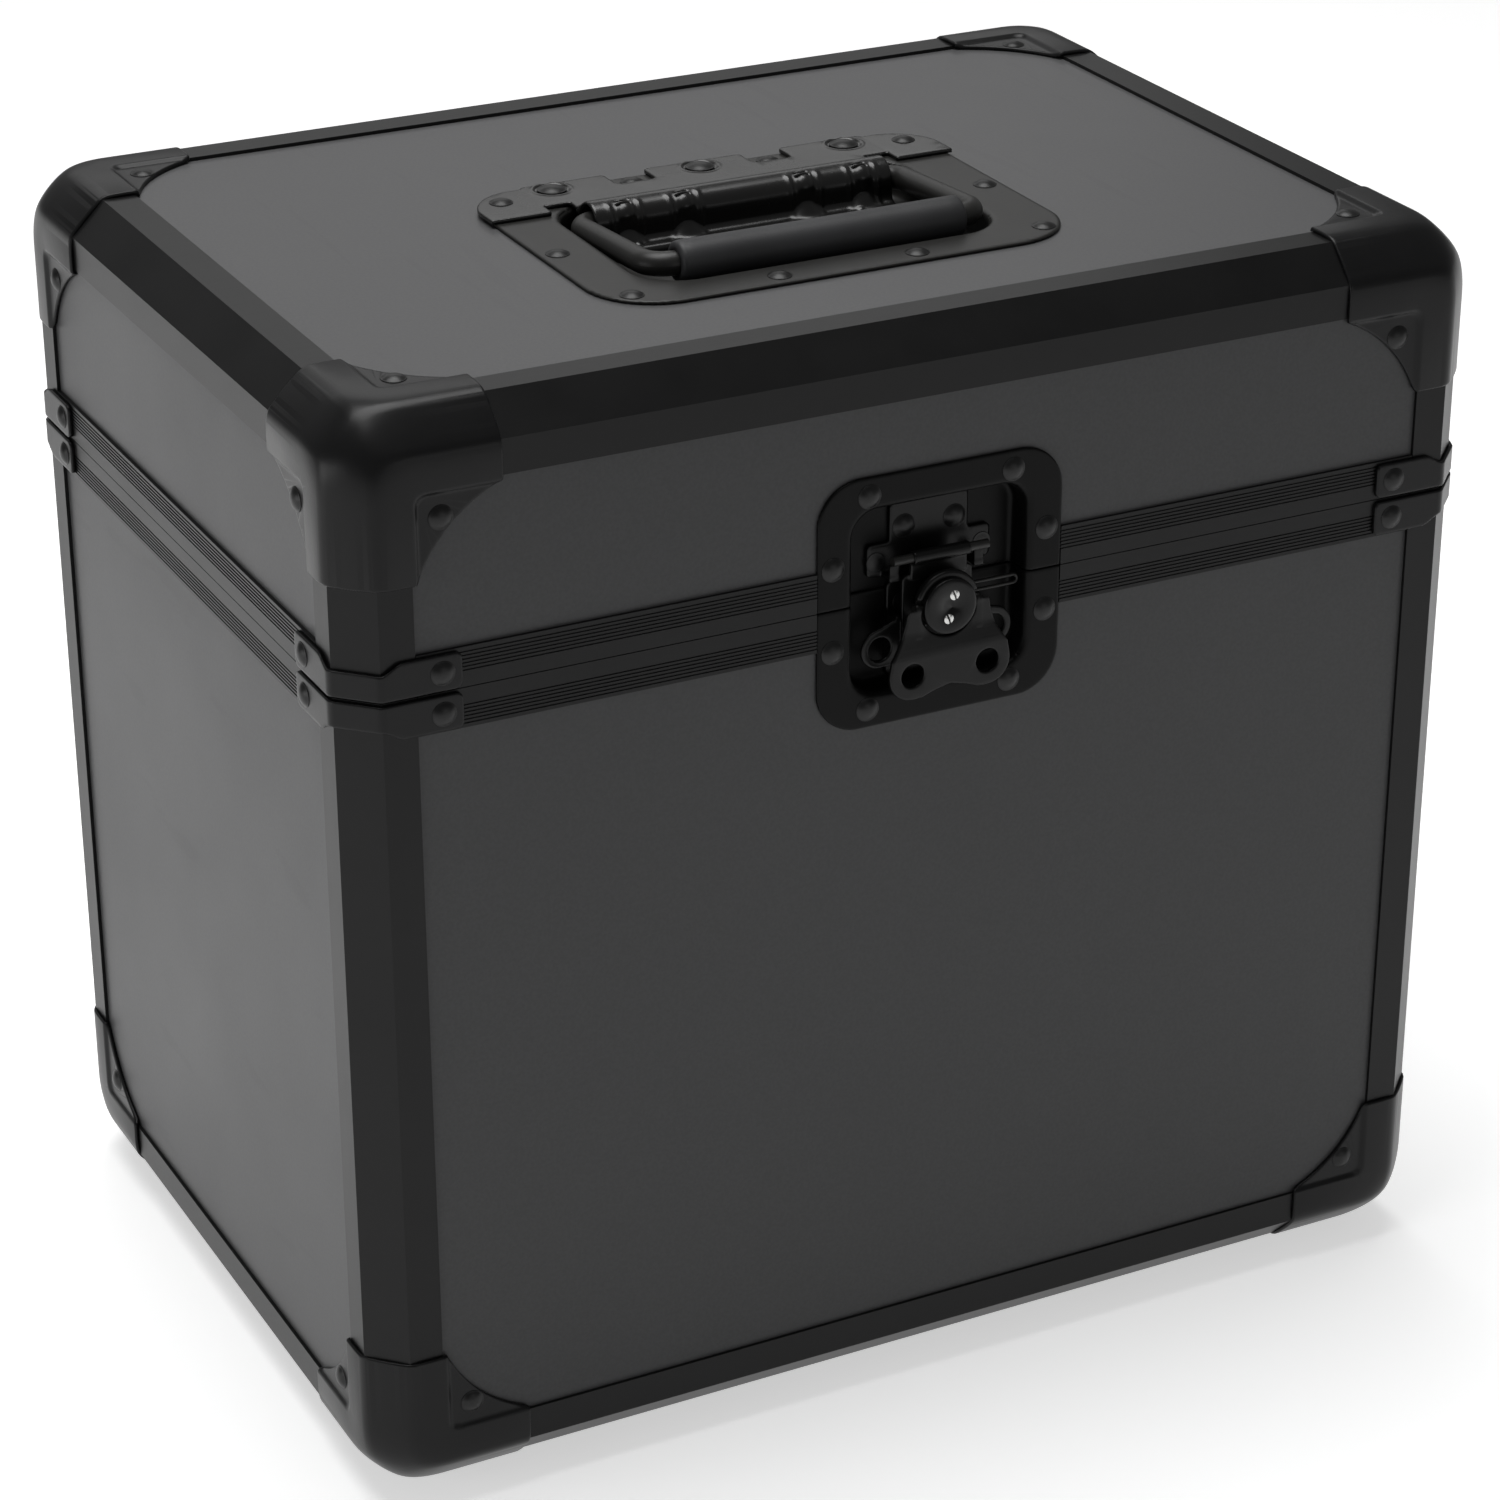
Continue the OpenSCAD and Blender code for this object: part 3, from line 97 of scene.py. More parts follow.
def skin(field, low, high, step):
    """Closed mesh of field = 0 between two corners, on a grid of that step."""
    low, high = np.array(low, float), np.array(high, float)
    n = np.ceil((high - low) / step).astype(int) + 1
    ax = [low[i] + step * np.arange(n[i]) for i in range(3)]
    val = np.empty(n)
    gy, gz = np.meshgrid(ax[1], ax[2], indexing="ij")
    rows = max(1, int(4e5 // gy.size))
    for i in range(0, n[0], rows):
        part = ax[0][i:i + rows]
        x = np.broadcast_to(part[:, None, None], (len(part),) + gy.shape)
        y = np.broadcast_to(gy, x.shape)
        z = np.broadcast_to(gz, x.shape)
        val[i:i + rows] = field(x, y, z)
    neg = val < 0
    cells = tuple(n - 1)
    total = np.zeros(cells, int)
    for c in np.ndindex(2, 2, 2):
        total += neg[tuple(slice(c[i], c[i] + cells[i]) for i in range(3))]
    active = (total > 0) & (total < 8)
    index = -np.ones(cells, int)
    index[active] = np.arange(active.sum())
    acc = np.zeros((active.sum(), 3))
    count = np.zeros(active.sum())
    where = np.argwhere(active)
    for axis in range(3):
        others = [i for i in range(3) if i != axis]
        for c in np.ndindex(2, 2):
            a = where.copy()
            a[:, others[0]] += c[0]
            a[:, others[1]] += c[1]
            b = a.copy()
            b[:, axis] += 1
            va, vb = val[tuple(a.T)], val[tuple(b.T)]
            hit = (va < 0) != (vb < 0)
            t = np.where(hit, va / np.where(hit, va - vb, 1), 0)
            p = low + a * step
            p[:, axis] += t * step
            acc[hit] += p[hit]
            count[hit] += 1
    verts = acc / count[:, None]
    for _ in range(3):
        verts += project(field, verts, step)
    faces = []
    for axis in range(3):
        o0, o1 = [(1, 2), (2, 0), (0, 1)][axis]
        lo = [slice(None)] * 3
        hi = [slice(None)] * 3
        lo[axis], hi[axis] = slice(0, -1), slice(1, None)
        flip = neg[tuple(lo)] != neg[tuple(hi)]
        edge = np.argwhere(flip)
        ok = (edge[:, o0] > 0) & (edge[:, o1] > 0)
        ok &= (edge[:, o0] < n[o0] - 1) & (edge[:, o1] < n[o1] - 1)
        edge = edge[ok]
        quad = []
        for d0, d1 in ((-1, -1), (0, -1), (0, 0), (-1, 0)):
            q = edge.copy()
            q[:, o0] += d0
            q[:, o1] += d1
            quad.append(index[tuple(q.T)])
        quad = np.stack(quad, axis=1)
        out = neg[tuple(edge.T)]
        quad[~out] = quad[~out][:, ::-1]
        faces.append(quad)
    return verts, np.concatenate(faces)


def project(field, p, step):
    """One step that moves points on to field = 0, never further than half a grid step."""
    e = 0.02
    x, y, z = p.T
    f = field(x, y, z)
    g = np.stack([
        field(x + e, y, z) - field(x - e, y, z),
        field(x, y + e, z) - field(x, y - e, z),
        field(x, y, z + e) - field(x, y, z - e)], axis=1) / (2 * e)
    move = -f[:, None] * g / np.maximum((g * g).sum(1), 0.05)[:, None]
    size = np.linalg.norm(move, axis=1)
    return move * np.minimum(1, 0.5 * step / np.maximum(size, 1e-9))[:, None]


# ---------------------------------------------------------------- pieces

def new_object(name, verts, faces, material):
    """A piece from millimetre points and faces, in the row's frame."""
    mesh = bpy.data.meshes.new(name)
    mesh.from_pydata((np.asarray(verts) * MM).tolist(), [], [list(map(int, f)) for f in faces])
    mesh.update()
    mesh.shade_smooth()
    ob = bpy.data.objects.new(name, mesh)
    bpy.context.scene.collection.objects.link(ob)
    ob.data.materials.append(material)
    return ob


def thinned(verts, faces, ratio):
    """The same surface with fewer faces, most of them left where it curves."""
    ob = new_object("thinning", verts, faces, MATS["corner"])
    mod = ob.modifiers.new("thin", "DECIMATE")
    mod.ratio = ratio
    deps = bpy.context.evaluated_depsgraph_get()
    out = bpy.data.meshes.new_from_object(ob.evaluated_get(deps))
    v = np.empty(len(out.vertices) * 3)
    out.vertices.foreach_get("co", v)
    f = [tuple(p.vertices) for p in out.polygons]
    bpy.data.objects.remove(ob)
    bpy.data.meshes.remove(out)
    return v.reshape(-1, 3) / MM, f


def join_parts(parts):
    """Points and faces of several (points, faces) pairs as one."""
    verts, faces, start = [], [], 0
    for v, f in parts:
        verts.append(np.asarray(v, float))
        faces += [tuple(int(i) + start for i in q) for q in f]
        start += len(v)
    return np.concatenate(verts), faces


def lathe(profile, around, axis, centre):
    """Points and faces of a closed round body, from (along, radius) pairs round an axis."""
    verts, faces = [], []
    u, w = [(1, 2), (2, 0), (0, 1)][axis]
    for t, r in profile:
        for k in range(around):
            a = 2 * math.pi * k / around
            p = list(centre)
            p[axis] += t
            p[u] += r * math.cos(a)
            p[w] += r * math.sin(a)
            verts.append(p)
    n = len(profile)
    for i in range(n):
        for k in range(around):
            j, m = (i + 1) % n, (k + 1) % around
            faces.append((i * around + k, i * around + m, j * around + m, j * around + k))
    return np.array(verts), faces


def mirrored(part, sx, sy, sz, offset):
    """A part turned over along the axes whose sign is -1 and then moved by offset."""
    v, f = part
    v = np.asarray(v) * (sx, sy, sz) + offset
    if sx * sy * sz < 0:
        f = [tuple(reversed(q)) for q in f]
    return v, f


def stand_for(ob, body, *nodes, slot):
    """The piece rides on a body, in the place of CAD nodes; its colour slot is not used."""
    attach(ob, body)
    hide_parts(*nodes)


# ---------------------------------------------------------------- materials

class Shader:
    """A Principled material and short calls for the nodes that feed it."""

    def __init__(self, name, base, rough, metallic=0.0, **fixed):
        self.mat = bpy.data.materials.new(name)
        self.mat.use_nodes = True
        self.tree = self.mat.node_tree
        self.bsdf = self.tree.nodes["Principled BSDF"]
        self.bsdf.inputs["Base Color"].default_value = (*base, 1)
        self.bsdf.inputs["Roughness"].default_value = rough
        self.bsdf.inputs["Metallic"].default_value = metallic
        for key, value in fixed.items():
            self.bsdf.inputs[key.replace("_", " ")].default_value = value
        coord = self.add("ShaderNodeTexCoord")
        self.place = coord.outputs["Object"]

    def add(self, kind, **props):
        node = self.tree.nodes.new(kind)
        for key, value in props.items():
            setattr(node, key, value)
        return node

    def link(self, a, b):
        self.tree.links.new(a, b)

    def scaled(self, scale, turn=(0, 0, 0)):
        """The object's own coordinates, stretched by scale per axis."""
        node = self.add("ShaderNodeMapping")
        node.inputs["Scale"].default_value = scale
        node.inputs["Rotation"].default_value = turn
        self.link(self.place, node.inputs["Vector"])
        return node.outputs["Vector"]

    def noise(self, scale, detail=2.0, rough=0.5, vector=None):
        node = self.add("ShaderNodeTexNoise")
        node.inputs["Scale"].default_value = scale
        node.inputs["Detail"].default_value = detail
        node.inputs["Roughness"].default_value = rough
        self.link(vector or self.place, node.inputs["Vector"])
        return node.outputs["Fac"]

    def cells(self, scale):
        node = self.add("ShaderNodeTexVoronoi", feature="F1")
        node.inputs["Scale"].default_value = scale
        self.link(self.place, node.inputs["Vector"])
        return node.outputs["Distance"]

    def ramp(self, value, stops):
        """A colour for a value, from (position, colour) stops."""
        node = self.add("ShaderNodeValToRGB")
        band = node.color_ramp
        while len(band.elements) < len(stops):
            band.elements.new(0.5)
        for el, (pos, col) in zip(band.elements, stops):
            el.position = pos
            el.color = (*col, 1)
        self.link(value, node.inputs["Fac"])
        return node.outputs["Color"]

    def spread(self, value, low, high, to_low, to_high):
        """The range low to high of a value, mapped to another range and held inside it."""
        node = self.add("ShaderNodeMapRange")
        for key, number in (("From Min", low), ("From Max", high),
                            ("To Min", to_low), ("To Max", to_high)):
            node.inputs[key].default_value = number
        self.link(value, node.inputs["Value"])
        return node.outputs["Result"]

    def math(self, op, a, b):
        node = self.add("ShaderNodeMath", operation=op)
        for i, v in enumerate((a, b)):
            if isinstance(v, (int, float)):
                node.inputs[i].default_value = v
            else:
                self.link(v, node.inputs[i])
        return node.outputs["Value"]

    def mix(self, fac, a, b):
        """Colours a and b mixed by fac; each may be a number, a colour or a socket."""
        node = self.add("ShaderNodeMix", data_type="RGBA")
        for key, v in ((0, fac), (6, a), (7, b)):
            if isinstance(v, (int, float)):
                node.inputs[key].default_value = v
            elif isinstance(v, tuple):
                node.inputs[key].default_value = (*v, 1)
            else:
                self.link(v, node.inputs[key])
        return node.outputs[2]

    def bump(self, height, strength, distance, normal=None):
        node = self.add("ShaderNodeBump")
        node.inputs["Strength"].default_value = strength
        node.inputs["Distance"].default_value = distance
        self.link(height, node.inputs["Height"])
        if normal:
            self.link(normal, node.inputs["Normal"])
        return node.outputs["Normal"]

    def out(self, **sockets):
        """Links the finished values to the Principled inputs and gives the material."""
        for key, value in sockets.items():
            self.link(value, self.bsdf.inputs[key.replace("_", " ")])
        return self.mat


def laminate():
    """Dark grey panel laminate: cloudy tone, fine grain, rare pale specks and faint scuffs."""
    s = Shader("panel_laminate", (0.078, 0.078, 0.0795), 0.4, Specular_IOR_Level=0.18)
    cloud = s.noise(9, 4, 0.6)
    fine = s.noise(900, 2, 0.6)
    speck = s.cells(420)
    tone = s.ramp(cloud, [(0.3, (0.075, 0.0752, 0.0767)), (0.7, (0.084, 0.0842, 0.0858))])
    grain = s.ramp(fine, [(0.35, (0.069, 0.0692, 0.0706)), (0.65, (0.091, 0.0912, 0.093))])
    both = s.mix(0.4, tone, grain)
    dust = s.spread(speck, 0.02, 0.05, 1, 0)
    rare = s.math("MULTIPLY", dust, s.spread(s.noise(60, 1), 0.66, 0.72, 0, 0.5))
    colour = s.mix(rare, both, (0.2, 0.2, 0.205))
    scratch_at = s.noise(140, 3, 0.6, s.scaled((1, 0.08, 0.35), (0.4, 0.2, 0.6)))
    scratch = s.spread(scratch_at, 0.63, 0.66, 0, 1)
    rough = s.math("ADD", s.spread(cloud, 0.3, 0.7, 0.36, 0.43),
                   s.math("MULTIPLY", scratch, 0.018))
    height = s.math("ADD", s.math("MULTIPLY", fine, 0.6),
                    s.math("MULTIPLY", s.noise(260, 3), 0.4))
    return s.out(Base_Color=colour, Roughness=rough, Normal=s.bump(height, 0.25, 0.00006))


def anodised(name, tone, light, rough, stretch):
    """Black anodised extrusion: faint drawing lines along it."""
    s = Shader(name, tone, rough, 0.0, Specular_IOR_Level=0.2)
    cloud = s.noise(30, 4, 0.6)
    draw = s.noise(700, 3, 0.7, s.scaled(stretch))
    colour = s.mix(s.spread(cloud, 0.3, 0.7, 0, 1), tone, light)
    r = s.math("ADD", s.spread(cloud, 0.3, 0.7, rough - 0.015, rough + 0.01),
               s.math("MULTIPLY", draw, 0.03))
    return s.out(Base_Color=colour, Roughness=r, Normal=s.bump(draw, 0.12, 0.00005))


def coated(name, tone, light, rough, spec, grain=1100, depth=0.00006):
    """Powder coat: a cloudy tone, fine orange peel and a soft unevenness under it."""
    s = Shader(name, tone, rough, 0.0, Specular_IOR_Level=spec)
    cloud = s.noise(24, 4, 0.6)
    peel = s.noise(grain, 2, 0.5)
    colour = s.mix(s.spread(cloud, 0.3, 0.7, 0, 1), tone, light)
    r = s.spread(cloud, 0.3, 0.7, rough - 0.02, rough + 0.03)
    soft = s.bump(s.noise(150, 2), 0.25, 0.00012)
    return s.out(Base_Color=colour, Roughness=r, Normal=s.bump(peel, 0.25, depth, soft))


def bright(name):
    """Bright steel with faint swirls."""
    s = Shader(name, (0.62, 0.62, 0.6), 0.22, 1.0)
    swirl = s.noise(900, 3, 0.7)
    tint = s.ramp(s.noise(200, 3), [(0.3, (0.52, 0.52, 0.51)), (0.7, (0.72, 0.72, 0.7))])
    return s.out(Base_Color=tint, Roughness=s.spread(swirl, 0.3, 0.7, 0.16, 0.32),
                 Normal=s.bump(swirl, 0.1, 0.00003))


def rubber(name, tone, rough):
    """Matt rubber with a fine grain."""
    s = Shader(name, tone, rough, 0.0, Specular_IOR_Level=0.35)
    fine = s.noise(1600, 3, 0.6)
    cloud = s.noise(40, 3)
    colour = s.mix(s.spread(cloud, 0.3, 0.7, 0, 1), tone, tuple(c * 1.5 for c in tone))
    return s.out(Base_Color=colour, Roughness=s.spread(fine, 0.3, 0.7, rough - 0.05, rough + 0.08),
                 Normal=s.bump(fine, 0.35, 0.00012))


def foam_stuff():
    """Dark foam with open pores; each pore is painted darker towards its middle, painted shade in
    the pit.
    """
    s = Shader("foam", (0.03, 0.03, 0.032), 0.92, Specular_IOR_Level=0.2)
    pores = s.cells(900)
    big = s.cells(380)
    # painted shade: the colour darkens towards each pore's middle, where the bump below sinks the
    # pit
    colour = s.ramp(pores, [(0.05, (0.012, 0.012, 0.013)), (0.5, (0.045, 0.045, 0.048))])
    return s.out(Base_Color=colour, Normal=s.bump(s.math("MULTIPLY", pores, big), 0.8, 0.0006))


BLACK = (0.0052, 0.0052, 0.0053)
BLACK_LIGHT = (0.008, 0.008, 0.0081)
MATS = {
    "panel": laminate(),
    "profile_x": anodised("profile_black", BLACK, BLACK_LIGHT, 0.34, (0.02, 1, 1)),
    "profile_y": anodised("profile_black_y", BLACK, BLACK_LIGHT, 0.34, (1, 0.02, 1)),
    "profile_z": anodised("profile_black_z", BLACK, BLACK_LIGHT, 0.34, (1, 1, 0.02)),
    "corner": coated("corner_black", (0.0048, 0.0048, 0.005),
                     (0.007, 0.007, 0.0073), 0.31, 0.2),
    "fitting": coated("fitting_black", (0.0105, 0.0103, 0.0095),
                      (0.0145, 0.0142, 0.0132), 0.4, 0.34),
    "roll": coated("handle_black", (0.0045, 0.0045, 0.0043),
                   (0.0065, 0.0064, 0.0061), 0.26, 0.5, depth=0.00003),
    "latch": coated("latch_black", (0.0025, 0.0025, 0.0025),
                    (0.004, 0.004, 0.0039), 0.36, 0.1),
    "works": coated("latch_works_black", (0.0032, 0.0032, 0.0032),
                    (0.0052, 0.0052, 0.0051), 0.3, 0.2),
    "rivet": coated("rivet_black", (0.005, 0.005, 0.005),
                    (0.008, 0.008, 0.008), 0.36, 0.3, 1500, 0.00004),
    "bright": bright("bright_steel"),
    "grip": rubber("grip_rubber", (0.019, 0.0193, 0.0205), 0.5),
    "foot": rubber("foot_rubber", (0.014, 0.014, 0.014), 0.7),
    "foam": foam_stuff(),
}


# ---------------------------------------------------------------- materials of the CAD nodes

NODE_ENDS = (
    ("panel", ("_panel",)),
    ("profile_x", ("edge_profiles", "rim_front", "rim_back")),
    ("profile_y", ("rim_left", "rim_right")),
    ("profile_z", ("post_profiles",)),
    ("corner", ("_corner_front_left", "_corner_front_right", "_corner_back_left",
                "_corner_back_right", "_braces")),
    ("rivet", ("_rivets",)),
    ("bright", ("foot_screws", "hinge_pins", "latch_cap_pins", "handle_springs")),
    ("foot", ("feet",)),
    ("grip", ("handle_grip",)),
    ("foam", ("_pad",)),
)


def material_of(name):
    """A CAD node's material, by how its name ends; what is left is a fitting."""
    for mat, ends in NODE_ENDS:
        if name.endswith(ends):
            return MATS[mat]
    return MATS["fitting"]


for node_name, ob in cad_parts.items():
    ob.data.materials.clear()
    ob.data.materials.append(material_of(node_name))


# ---------------------------------------------------------------- steel corners

CORNER_ARM = 52.0                   # reach of each arm from the case's corner
BALL_IN, BALL_R = 26.0, 30.2        # the ball's centre on each axis and its radius
WEB_START, WEB_C = 24.0, 70.0       # where a web's arc starts and its centre
WEB_STEP, WEB_RAMP = 1.2, 2.4       # how far the webs lie lower, and over what width


def corner_field(x, y, z):
    """A steel corner at the origin: three chamfered arms, a ball and thinner webs."""
    body = smax(-x, -y, 0.8)
    body = smax(body, -z, 0.8)
    for a, b in ((x, y), (y, z), (x, z)):
        body = smax(body, (CHAMFER - a - b) / ROOT2, 1.6)
    cx, cy, cz = (np.minimum(v - BALL_IN, 0) for v in (x, y, z))
    body = smax(body, np.sqrt(cx * cx + cy * cy + cz * cz) - BALL_R, 3.2)
    a, b, c = np.sort(np.stack([x, y, z]), axis=0)
    away = smin(b, c, 4.0) - WEB_START
    t = np.clip(0.5 + away / WEB_RAMP, 0, 1)
    thick = SHEET - WEB_STEP * t * t * (3 - 2 * t)
    trim = c - CORNER_ARM
    arc = math.hypot(WEB_C - CORNER_ARM, WEB_C - WEB_START)
    for p, q in ((x, y), (y, z), (x, z)):
        trim = smax(trim, arc - np.hypot(p - WEB_C, q - WEB_C), 0.8)
    outer = smax(body - thick, trim, 0.7)
    return smax(outer, thick - SHEET - body, 0.3)


def make_corners():
    part = skin(corner_field, (-3, -3, -3), (54, 54, 54), 0.6)
    part = thinned(*part, 0.32)
    spots = {"front_left": (1, 1), "front_right": (-1, 1),
             "back_left": (1, -1), "back_right": (-1, -1)}
    for level, z, sz, body in (("base", BASE_Z, 1, "base"), ("lid", TOP_Z, -1, "lid")):
        for side, (sx, sy) in spots.items():
            v, f = mirrored(part, sx, sy, sz, (-sx * HALF_W, -sy * HALF_D, z))
            ob = new_object(f"{level}_ball_corner_{side}", v, f, MATS["corner"])
            stand_for(ob, body, f"{level}_corner_{side}", slot="corner_black")


make_corners()

# ---------------------------------------------------------------- rivets

HEAD_HEIGHTS = ((4.5, 1.8), (3.5, 1.7), (0.0, 0.5))     # for heads wider than that radius
TOP_FROM, TOP_RISE = 350, 0.8       # heads on the lid's top, above this, are flatter
SHANK_R, TAIL_R, TAIL_H = 2.0, 2.9, 0.8
TOUCH = 0.05                        # surfaces of one solid lie closer than this


def dome(radius, height, rings=7, around=40):
    """A rivet head on z = 0: a low dome with a soft foot and a faint flat on its crown."""
    ball = (radius * radius + height * height) / (2 * height)
    profile = [(radius - 0.06, -0.02), (radius, 0.12)]
    for i in range(rings + 1):
        r = (radius - 0.12) * math.cos(0.5 * math.pi * i / rings)
        z = math.sqrt(max(ball * ball - r * r, 0)) - ball + height
        profile.append((r, max(min(z, height - 0.06), 0.2)))
    verts, faces = [], []
    for r, z in profile[:-1]:
        for k in range(around):
            a = 2 * math.pi * k / around
            verts.append((r * math.cos(a), r * math.sin(a), z))
    top = len(verts)
    verts.append((0, 0, profile[-1][1]))
    rows = len(profile) - 1
    for i in range(rows - 1):
        for k in range(around):
            a, b = i * around + k, i * around + (k + 1) % around
            faces.append((a, b, b + around, a + around))
    last = (rows - 1) * around
    for k in range(around):
        faces.append((last + k, last + (k + 1) % around, top))
    faces.append(tuple(reversed(range(around))))
    return np.array(verts), faces


def shank(radius, length, around=16):
    """A plain pin from z = 0 down."""
    verts = [(radius * math.cos(2 * math.pi * k / around),
              radius * math.sin(2 * math.pi * k / around), z)
             for z in (0, -length) for k in range(around)]
    faces = [(k + around, (k + 1) % around + around, (k + 1) % around, k) for k in range(around)]
    faces += [tuple(range(around)), tuple(reversed(range(around, 2 * around)))]
    return np.array(verts), faces


def islands(ob):
    """The points of each separate solid in a CAD node, mm."""
    bm = bmesh.new()
    bm.from_mesh(ob.data)
    seen, found = set(), []
    for v in bm.verts:
        if v.index in seen:
            continue
        stack, group = [v], []
        seen.add(v.index)
        while stack:
            w = stack.pop()
            group.append(tuple(w.co))
            for e in w.link_edges:
                o = e.other_vert(w)
                if o.index not in seen:
                    seen.add(o.index)
                    stack.append(o)
        found.append(np.array(group) / MM)
    bm.free()
    return merged(found)


def merged(groups):
    """Groups whose boxes touch, joined: one solid may come as several loose surfaces."""
    out = []
    for g in groups:
        lo, hi = g.min(0) - TOUCH, g.max(0) + TOUCH
        keep = []
        for other in out:
            if np.all(lo <= other.max(0)) and np.all(hi >= other.min(0)):
                g = np.concatenate([g, other])
                lo, hi = g.min(0) - TOUCH, g.max(0) + TOUCH
            else:
                keep.append(other)
        out = keep + [g]
    return out


def rivets_for(node, body, name):
    """Domed heads, shanks and clenched tails where the CAD node has its rivets."""
    parts = []
    for pts in islands(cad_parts[node]):
        lo, hi = pts.min(0), pts.max(0)
        size = hi - lo
        # the rivet's axis is the one whose two cross measures match best
        axis = min(range(3), key=lambda i: abs(size[i - 1] - size[i - 2]))
        mid = (lo + hi) / 2
        across = [i for i in range(3) if i != axis]
        reach = np.abs(pts[:, across] - mid[across]).max(1)
        radius = reach.max()
        # and its head is at the end where the rim is
        sign = 1 if pts[reach > radius - 0.1, axis].mean() > mid[axis] else -1
        length = size[axis]
        height = next(h for r, h in HEAD_HEIGHTS if radius > r)
        x_axis = np.eye(3)[across[0]]
        z_axis = np.eye(3)[axis] * sign
        y_axis = np.cross(z_axis, x_axis)
        turn = np.stack([x_axis, y_axis, z_axis], axis=1)
        seat = mid.copy()
        seat[axis] = (hi[axis] if sign > 0 else lo[axis]) - sign * height
        rise = TOP_RISE * height if axis == 2 and mid[2] > TOP_FROM else height
        grip = length - height - TAIL_H
        for v, f in (dome(radius, rise), shank(SHANK_R, grip)):
            parts.append((v @ turn.T + seat, f))
        tail_v, tail_f = shank(TAIL_R, TAIL_H)
        parts.append((tail_v @ turn.T + seat - z_axis * grip, tail_f))
    v, f = join_parts(parts)
    ob = new_object(name, v, f, MATS["rivet"])
    stand_for(ob, body, node, slot="rivet_black")


rivets_for("base_rivets", "base", "base_rivet_heads")
rivets_for("lid_rivets", "lid", "lid_rivet_heads")
rivets_for("handle_rivets", "lid", "handle_rivet_heads")

# ---------------------------------------------------------------- joint braces

BRACE_H, BRACE_MID, BRACE_W, BRACE_R = 12, 12, 50, 2.4
DIP, DIP_HALF, DIP_RAMP = 3.4, 8.3, 5.6     # the dip in its edge over the chamfer
BRACE_GAP = 0.5                             # from the joint to its edge


def brace_field(x, y, z):
    """A bent strip round a chamfered edge; z = 0 is the side next to the joint."""
    body = smax(smax(-x, -y, 0.6), (CHAMFER - x - y) / ROOT2, 1.2)
    along = np.abs(x - y) / ROOT2
    t = np.clip((along - DIP_HALF) / DIP_RAMP, 0, 1)
    dip = DIP * (1 - t * t * (3 - 2 * t))
    far = np.maximum(x, y)
    ends = rounded_rect(far - BRACE_MID, z - BRACE_H / 2, BRACE_W, BRACE_H, BRACE_R)
    trim = smax(ends, z - BRACE_H + dip, 1.0)
    outer = smax(body - SHEET, trim, 0.5)
    return smax(outer, -body + 0.02, 0.2)


def make_braces():
    part = thinned(*skin(brace_field, (-2.6, -2.6, -1), (38.5, 38.5, 13), 0.5), 0.35)
    for node, z, sz, body in (("lid_braces", LID_Z + BRACE_GAP, 1, "lid"),
                              ("base_braces", SEAM_Z - BRACE_GAP, -1, "base")):
        parts = [mirrored(part, sx, sy, sz, (-sx * HALF_W, -sy * HALF_D, z))
                 for sx in (1, -1) for sy in (1, -1)]
        v, f = join_parts(parts)
        ob = new_object(node.replace("_", "_joint_"), v, f, MATS["corner"])
        stand_for(ob, body, node, slot="corner_black")


make_braces()

# ---------------------------------------------------------------- latch, drawn face on
# x to the right, v up from the joint, n out of the case's front

DISH_W, DISH_H, DISH_R = 87.0, 84.6, 15.0
DISH_OPEN, DISH_OPEN_R = 62.0, 9.0
FLOOR_N, BED_N = -9.5, -8.0         # the dish's floor and the face of the plates on it
HUB_V = -3.0
WING_PIN_N, WING_PIN_BORE = 4.3, 1.26
DRAW_PIN_V, DRAW_PIN_N, PIN_BORE = -12, -4.2, 1.57
BAR_V, BAR_N = 12.5, -0.4


def from_front(part):
    """From (x, height over the joint, distance out of the front) to the row's frame."""
    v, f = part
    v = np.asarray(v)
    return np.stack([v[:, 0], -HALF_D - v[:, 2], SEAM_Z + v[:, 1]], axis=1), f


def latch_dish_field(low, high):
    """The pressed dish between two heights."""
    def field(x, v, n):
        flange = rounded_rect(x, v, DISH_W, DISH_H, DISH_R)
        over = DISH_OPEN + 2 * DISH_SHEET
        tub = rounded_rect(x, v, over, over, DISH_OPEN_R + DISH_SHEET)
        back = smin(np.maximum(flange, -DISH_SHEET - n),
                    np.maximum(tub, FLOOR_N - DISH_SHEET - n), 0.8)
        cavity = smax(rounded_rect(x, v, DISH_OPEN, DISH_OPEN, DISH_OPEN_R), FLOOR_N - n, 2.4)
        air = smin(cavity, -n, 2.6)
        solid = smax(back, -air, 0.5)
        return smax(solid, np.maximum(low - v, v - high), 0.3)
    return field


def make_latch_dishes():
    for node, body, low, high, name in (("latch_dish", "base", -60, 0, "latch_dish_lower"),
                                        ("keeper_dish", "lid", 0.3, 60, "latch_dish_upper")):
        lo = (-45, max(low, -44) - 1, -12)
        hi = (45, min(high, 44) + 1, 1.5)
        part = thinned(*skin(latch_dish_field(low, high), lo, hi, 0.65), 0.4)
        v, f = from_front(part)
        ob = new_object(name, v, f, MATS["latch"])
        stand_for(ob, body, node, slot="fitting_black")


make_latch_dishes()

# from the top left down round the two lobes and up to the top right
WING_OUTLINE = [(-11.7, -2.8), (-14.2, -3.0), (-14.9, -7), (-16.4, -12), (-20.2, -18.5),
                (-17.5, -29), (-10, -31.2), (0, -28.9), (10, -31.2), (17.5, -29),
                (20.2, -18.5), (16.4, -12), (14.9, -7), (14.2, -3.0), (11.7, -2.8)]
LOBE_X, LOBE_V, LOBE_R, LOBE_HOLE = 13.4, -24, 8.2, 4.0
WING_LOW, WING_HIGH, WING_CUT = 4.0, 6.0, 10.0      # back, face and the gap for the disc
WING_BEND, BEND_V, BEND_RAMP = 1.6, -9.5, 9         # its lower part stands further out


